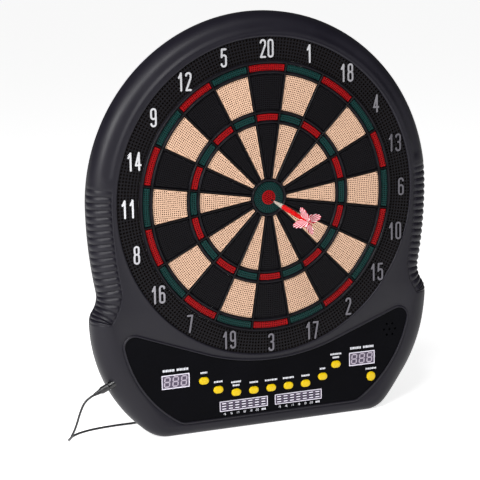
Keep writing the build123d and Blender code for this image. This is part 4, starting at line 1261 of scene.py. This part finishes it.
def screw_heads(centres, y, radius):
    """Pan heads facing +Y, each with a cross recess."""
    heads = Solid()
    for x, z in centres:
        a, b = RECESS_W / 2, RECESS_L / 2
        cross = [(a, b), (a, a), (b, a)]
        for _ in range(3):
            cross += [(v, -u) for u, v in cross[-3:]]
        rim = [heads.loop(grounded(circle(radius - inset, 36, (x, z)), y - drop)) for inset, drop in HEAD]
        mouth, floor = (
            heads.loop(grounded([(x + u * share, z + v * share) for u, v in cross], y - drop))
            for share, drop in ((1, 0), (RECESS_TAPER, RECESS_DEPTH))
        )
        heads.tunnel(rim)
        heads.fill(rim[-1], [mouth])
        heads.wall(mouth, floor)
        heads.cap(floor)
        heads.cap(rim[0])
    return heads


SCREW_INSET = 13.0
WAIST_X = RIM_R - (FLANK_R + WAIST_R) * (1 - cos(FLANK_TURN))
WAIST_Z = -(FLANK_R + WAIST_R) * sin(FLANK_TURN)
LOBE_SCREW_TURN, FOOT_SCREW_TURN = 8, 60
LOBE_REACH, FOOT_REACH = LOBE_R - SCREW_INSET, CORNER_R - SCREW_INSET
cover_places = [polar(RIM_R - SCREW_INSET, turn) for turn in (0, 40, 80, 280, 320)]
for side in (1, -1):
    cover_places += [
        (side * (WAIST_X - SCREW_INSET), WAIST_Z),
        (side * (LOBE_X + LOBE_REACH * cos(LOBE_SCREW_TURN)),
         SHOULDER_Z - LOBE_REACH * sin(LOBE_SCREW_TURN)),
        (side * (FOOT_X + FOOT_REACH * cos(FOOT_SCREW_TURN)),
         CORNER_R - BOARD_Z - FOOT_REACH * sin(FOOT_SCREW_TURN)),
    ]
SCREW_HEAD_R = 2.8
screw_heads([(x, z + BOARD_Z) for x, z in cover_places], BACK - 0.05, SCREW_HEAD_R).piece(
    "cover_screw_heads", "root", "screw", ("cover_screws",))

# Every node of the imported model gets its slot's finish, shown or replaced
for part in frame["record"]["subparts"]:
    shown = frame["nodes"][part["node"]]
    shown.data.materials.clear()
    shown.data.materials.append(MATERIALS[part["material_slot"]])

# Room
floor_mesh = bpy.data.meshes.new("floor")
HALF_FLOOR = 40.0
corners = [(x * HALF_FLOOR, y * HALF_FLOOR, 0) for x, y in ((-1, -1), (1, -1), (1, 1), (-1, 1))]
floor_mesh.from_pydata(corners, [], [(0, 1, 2, 3)])
floor = bpy.data.objects.new("floor", floor_mesh)
bpy.context.scene.collection.objects.link(floor)
paper = bpy.data.materials.new("paper")
paper.use_nodes = True
sheet = paper.node_tree.nodes["Principled BSDF"]
sheet.inputs["Base Color"].default_value = (0.86, 0.86, 0.86, 1)
sheet.inputs["Emission Color"].default_value = (1, 1, 1, 1)
sheet.inputs["Emission Strength"].default_value = 0.76
sheet.inputs["Roughness"].default_value = 0.9
sheet.inputs["Specular IOR Level"].default_value = 0.0
floor_mesh.materials.append(paper)
floor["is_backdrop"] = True

world = bpy.data.worlds.new("world")
bpy.context.scene.world = world
world.use_nodes = True
world.node_tree.nodes["Background"].inputs["Color"].default_value = (1, 1, 1, 1)
world.node_tree.nodes["Background"].inputs["Strength"].default_value = 0.08
bpy.context.scene.view_settings.view_transform = "Standard"


def toward(azimuth, elevation):
    """The direction from the object to a place at an azimuth and an elevation."""
    return Vector((sin(azimuth) * cos(elevation), -cos(azimuth) * cos(elevation), sin(elevation)))


def shine(name, kind, direction, distance, target, energy, **settings):
    """A soft lamp aimed at a target."""
    light = bpy.data.lights.new(name, kind)
    light.energy = energy
    for key, value in settings.items():
        setattr(light, key, value)
    made = bpy.data.objects.new(name, light)
    made.location = Vector(target) + direction * distance
    made.rotation_euler = direction.to_track_quat("Z", "Y").to_euler()
    bpy.context.scene.collection.objects.link(made)


shine("overhead", "SUN", toward(-8, 52), 3, (0, 0, 0.3), 0.5, angle=math.radians(60))
shine("top_box", "AREA", toward(-32, 44), 2.2, (0, 0, 0.35), 30, shape="RECTANGLE", size=0.7, size_y=0.5)
shine("left_box", "AREA", toward(-64, 24), 2.2, (0, 0, 0.35), 40, shape="RECTANGLE", size=0.6, size_y=0.9)

low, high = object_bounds()
{"cad": [list(cad_low), list(cad_high)], "visual": [list(low), list(high)]}
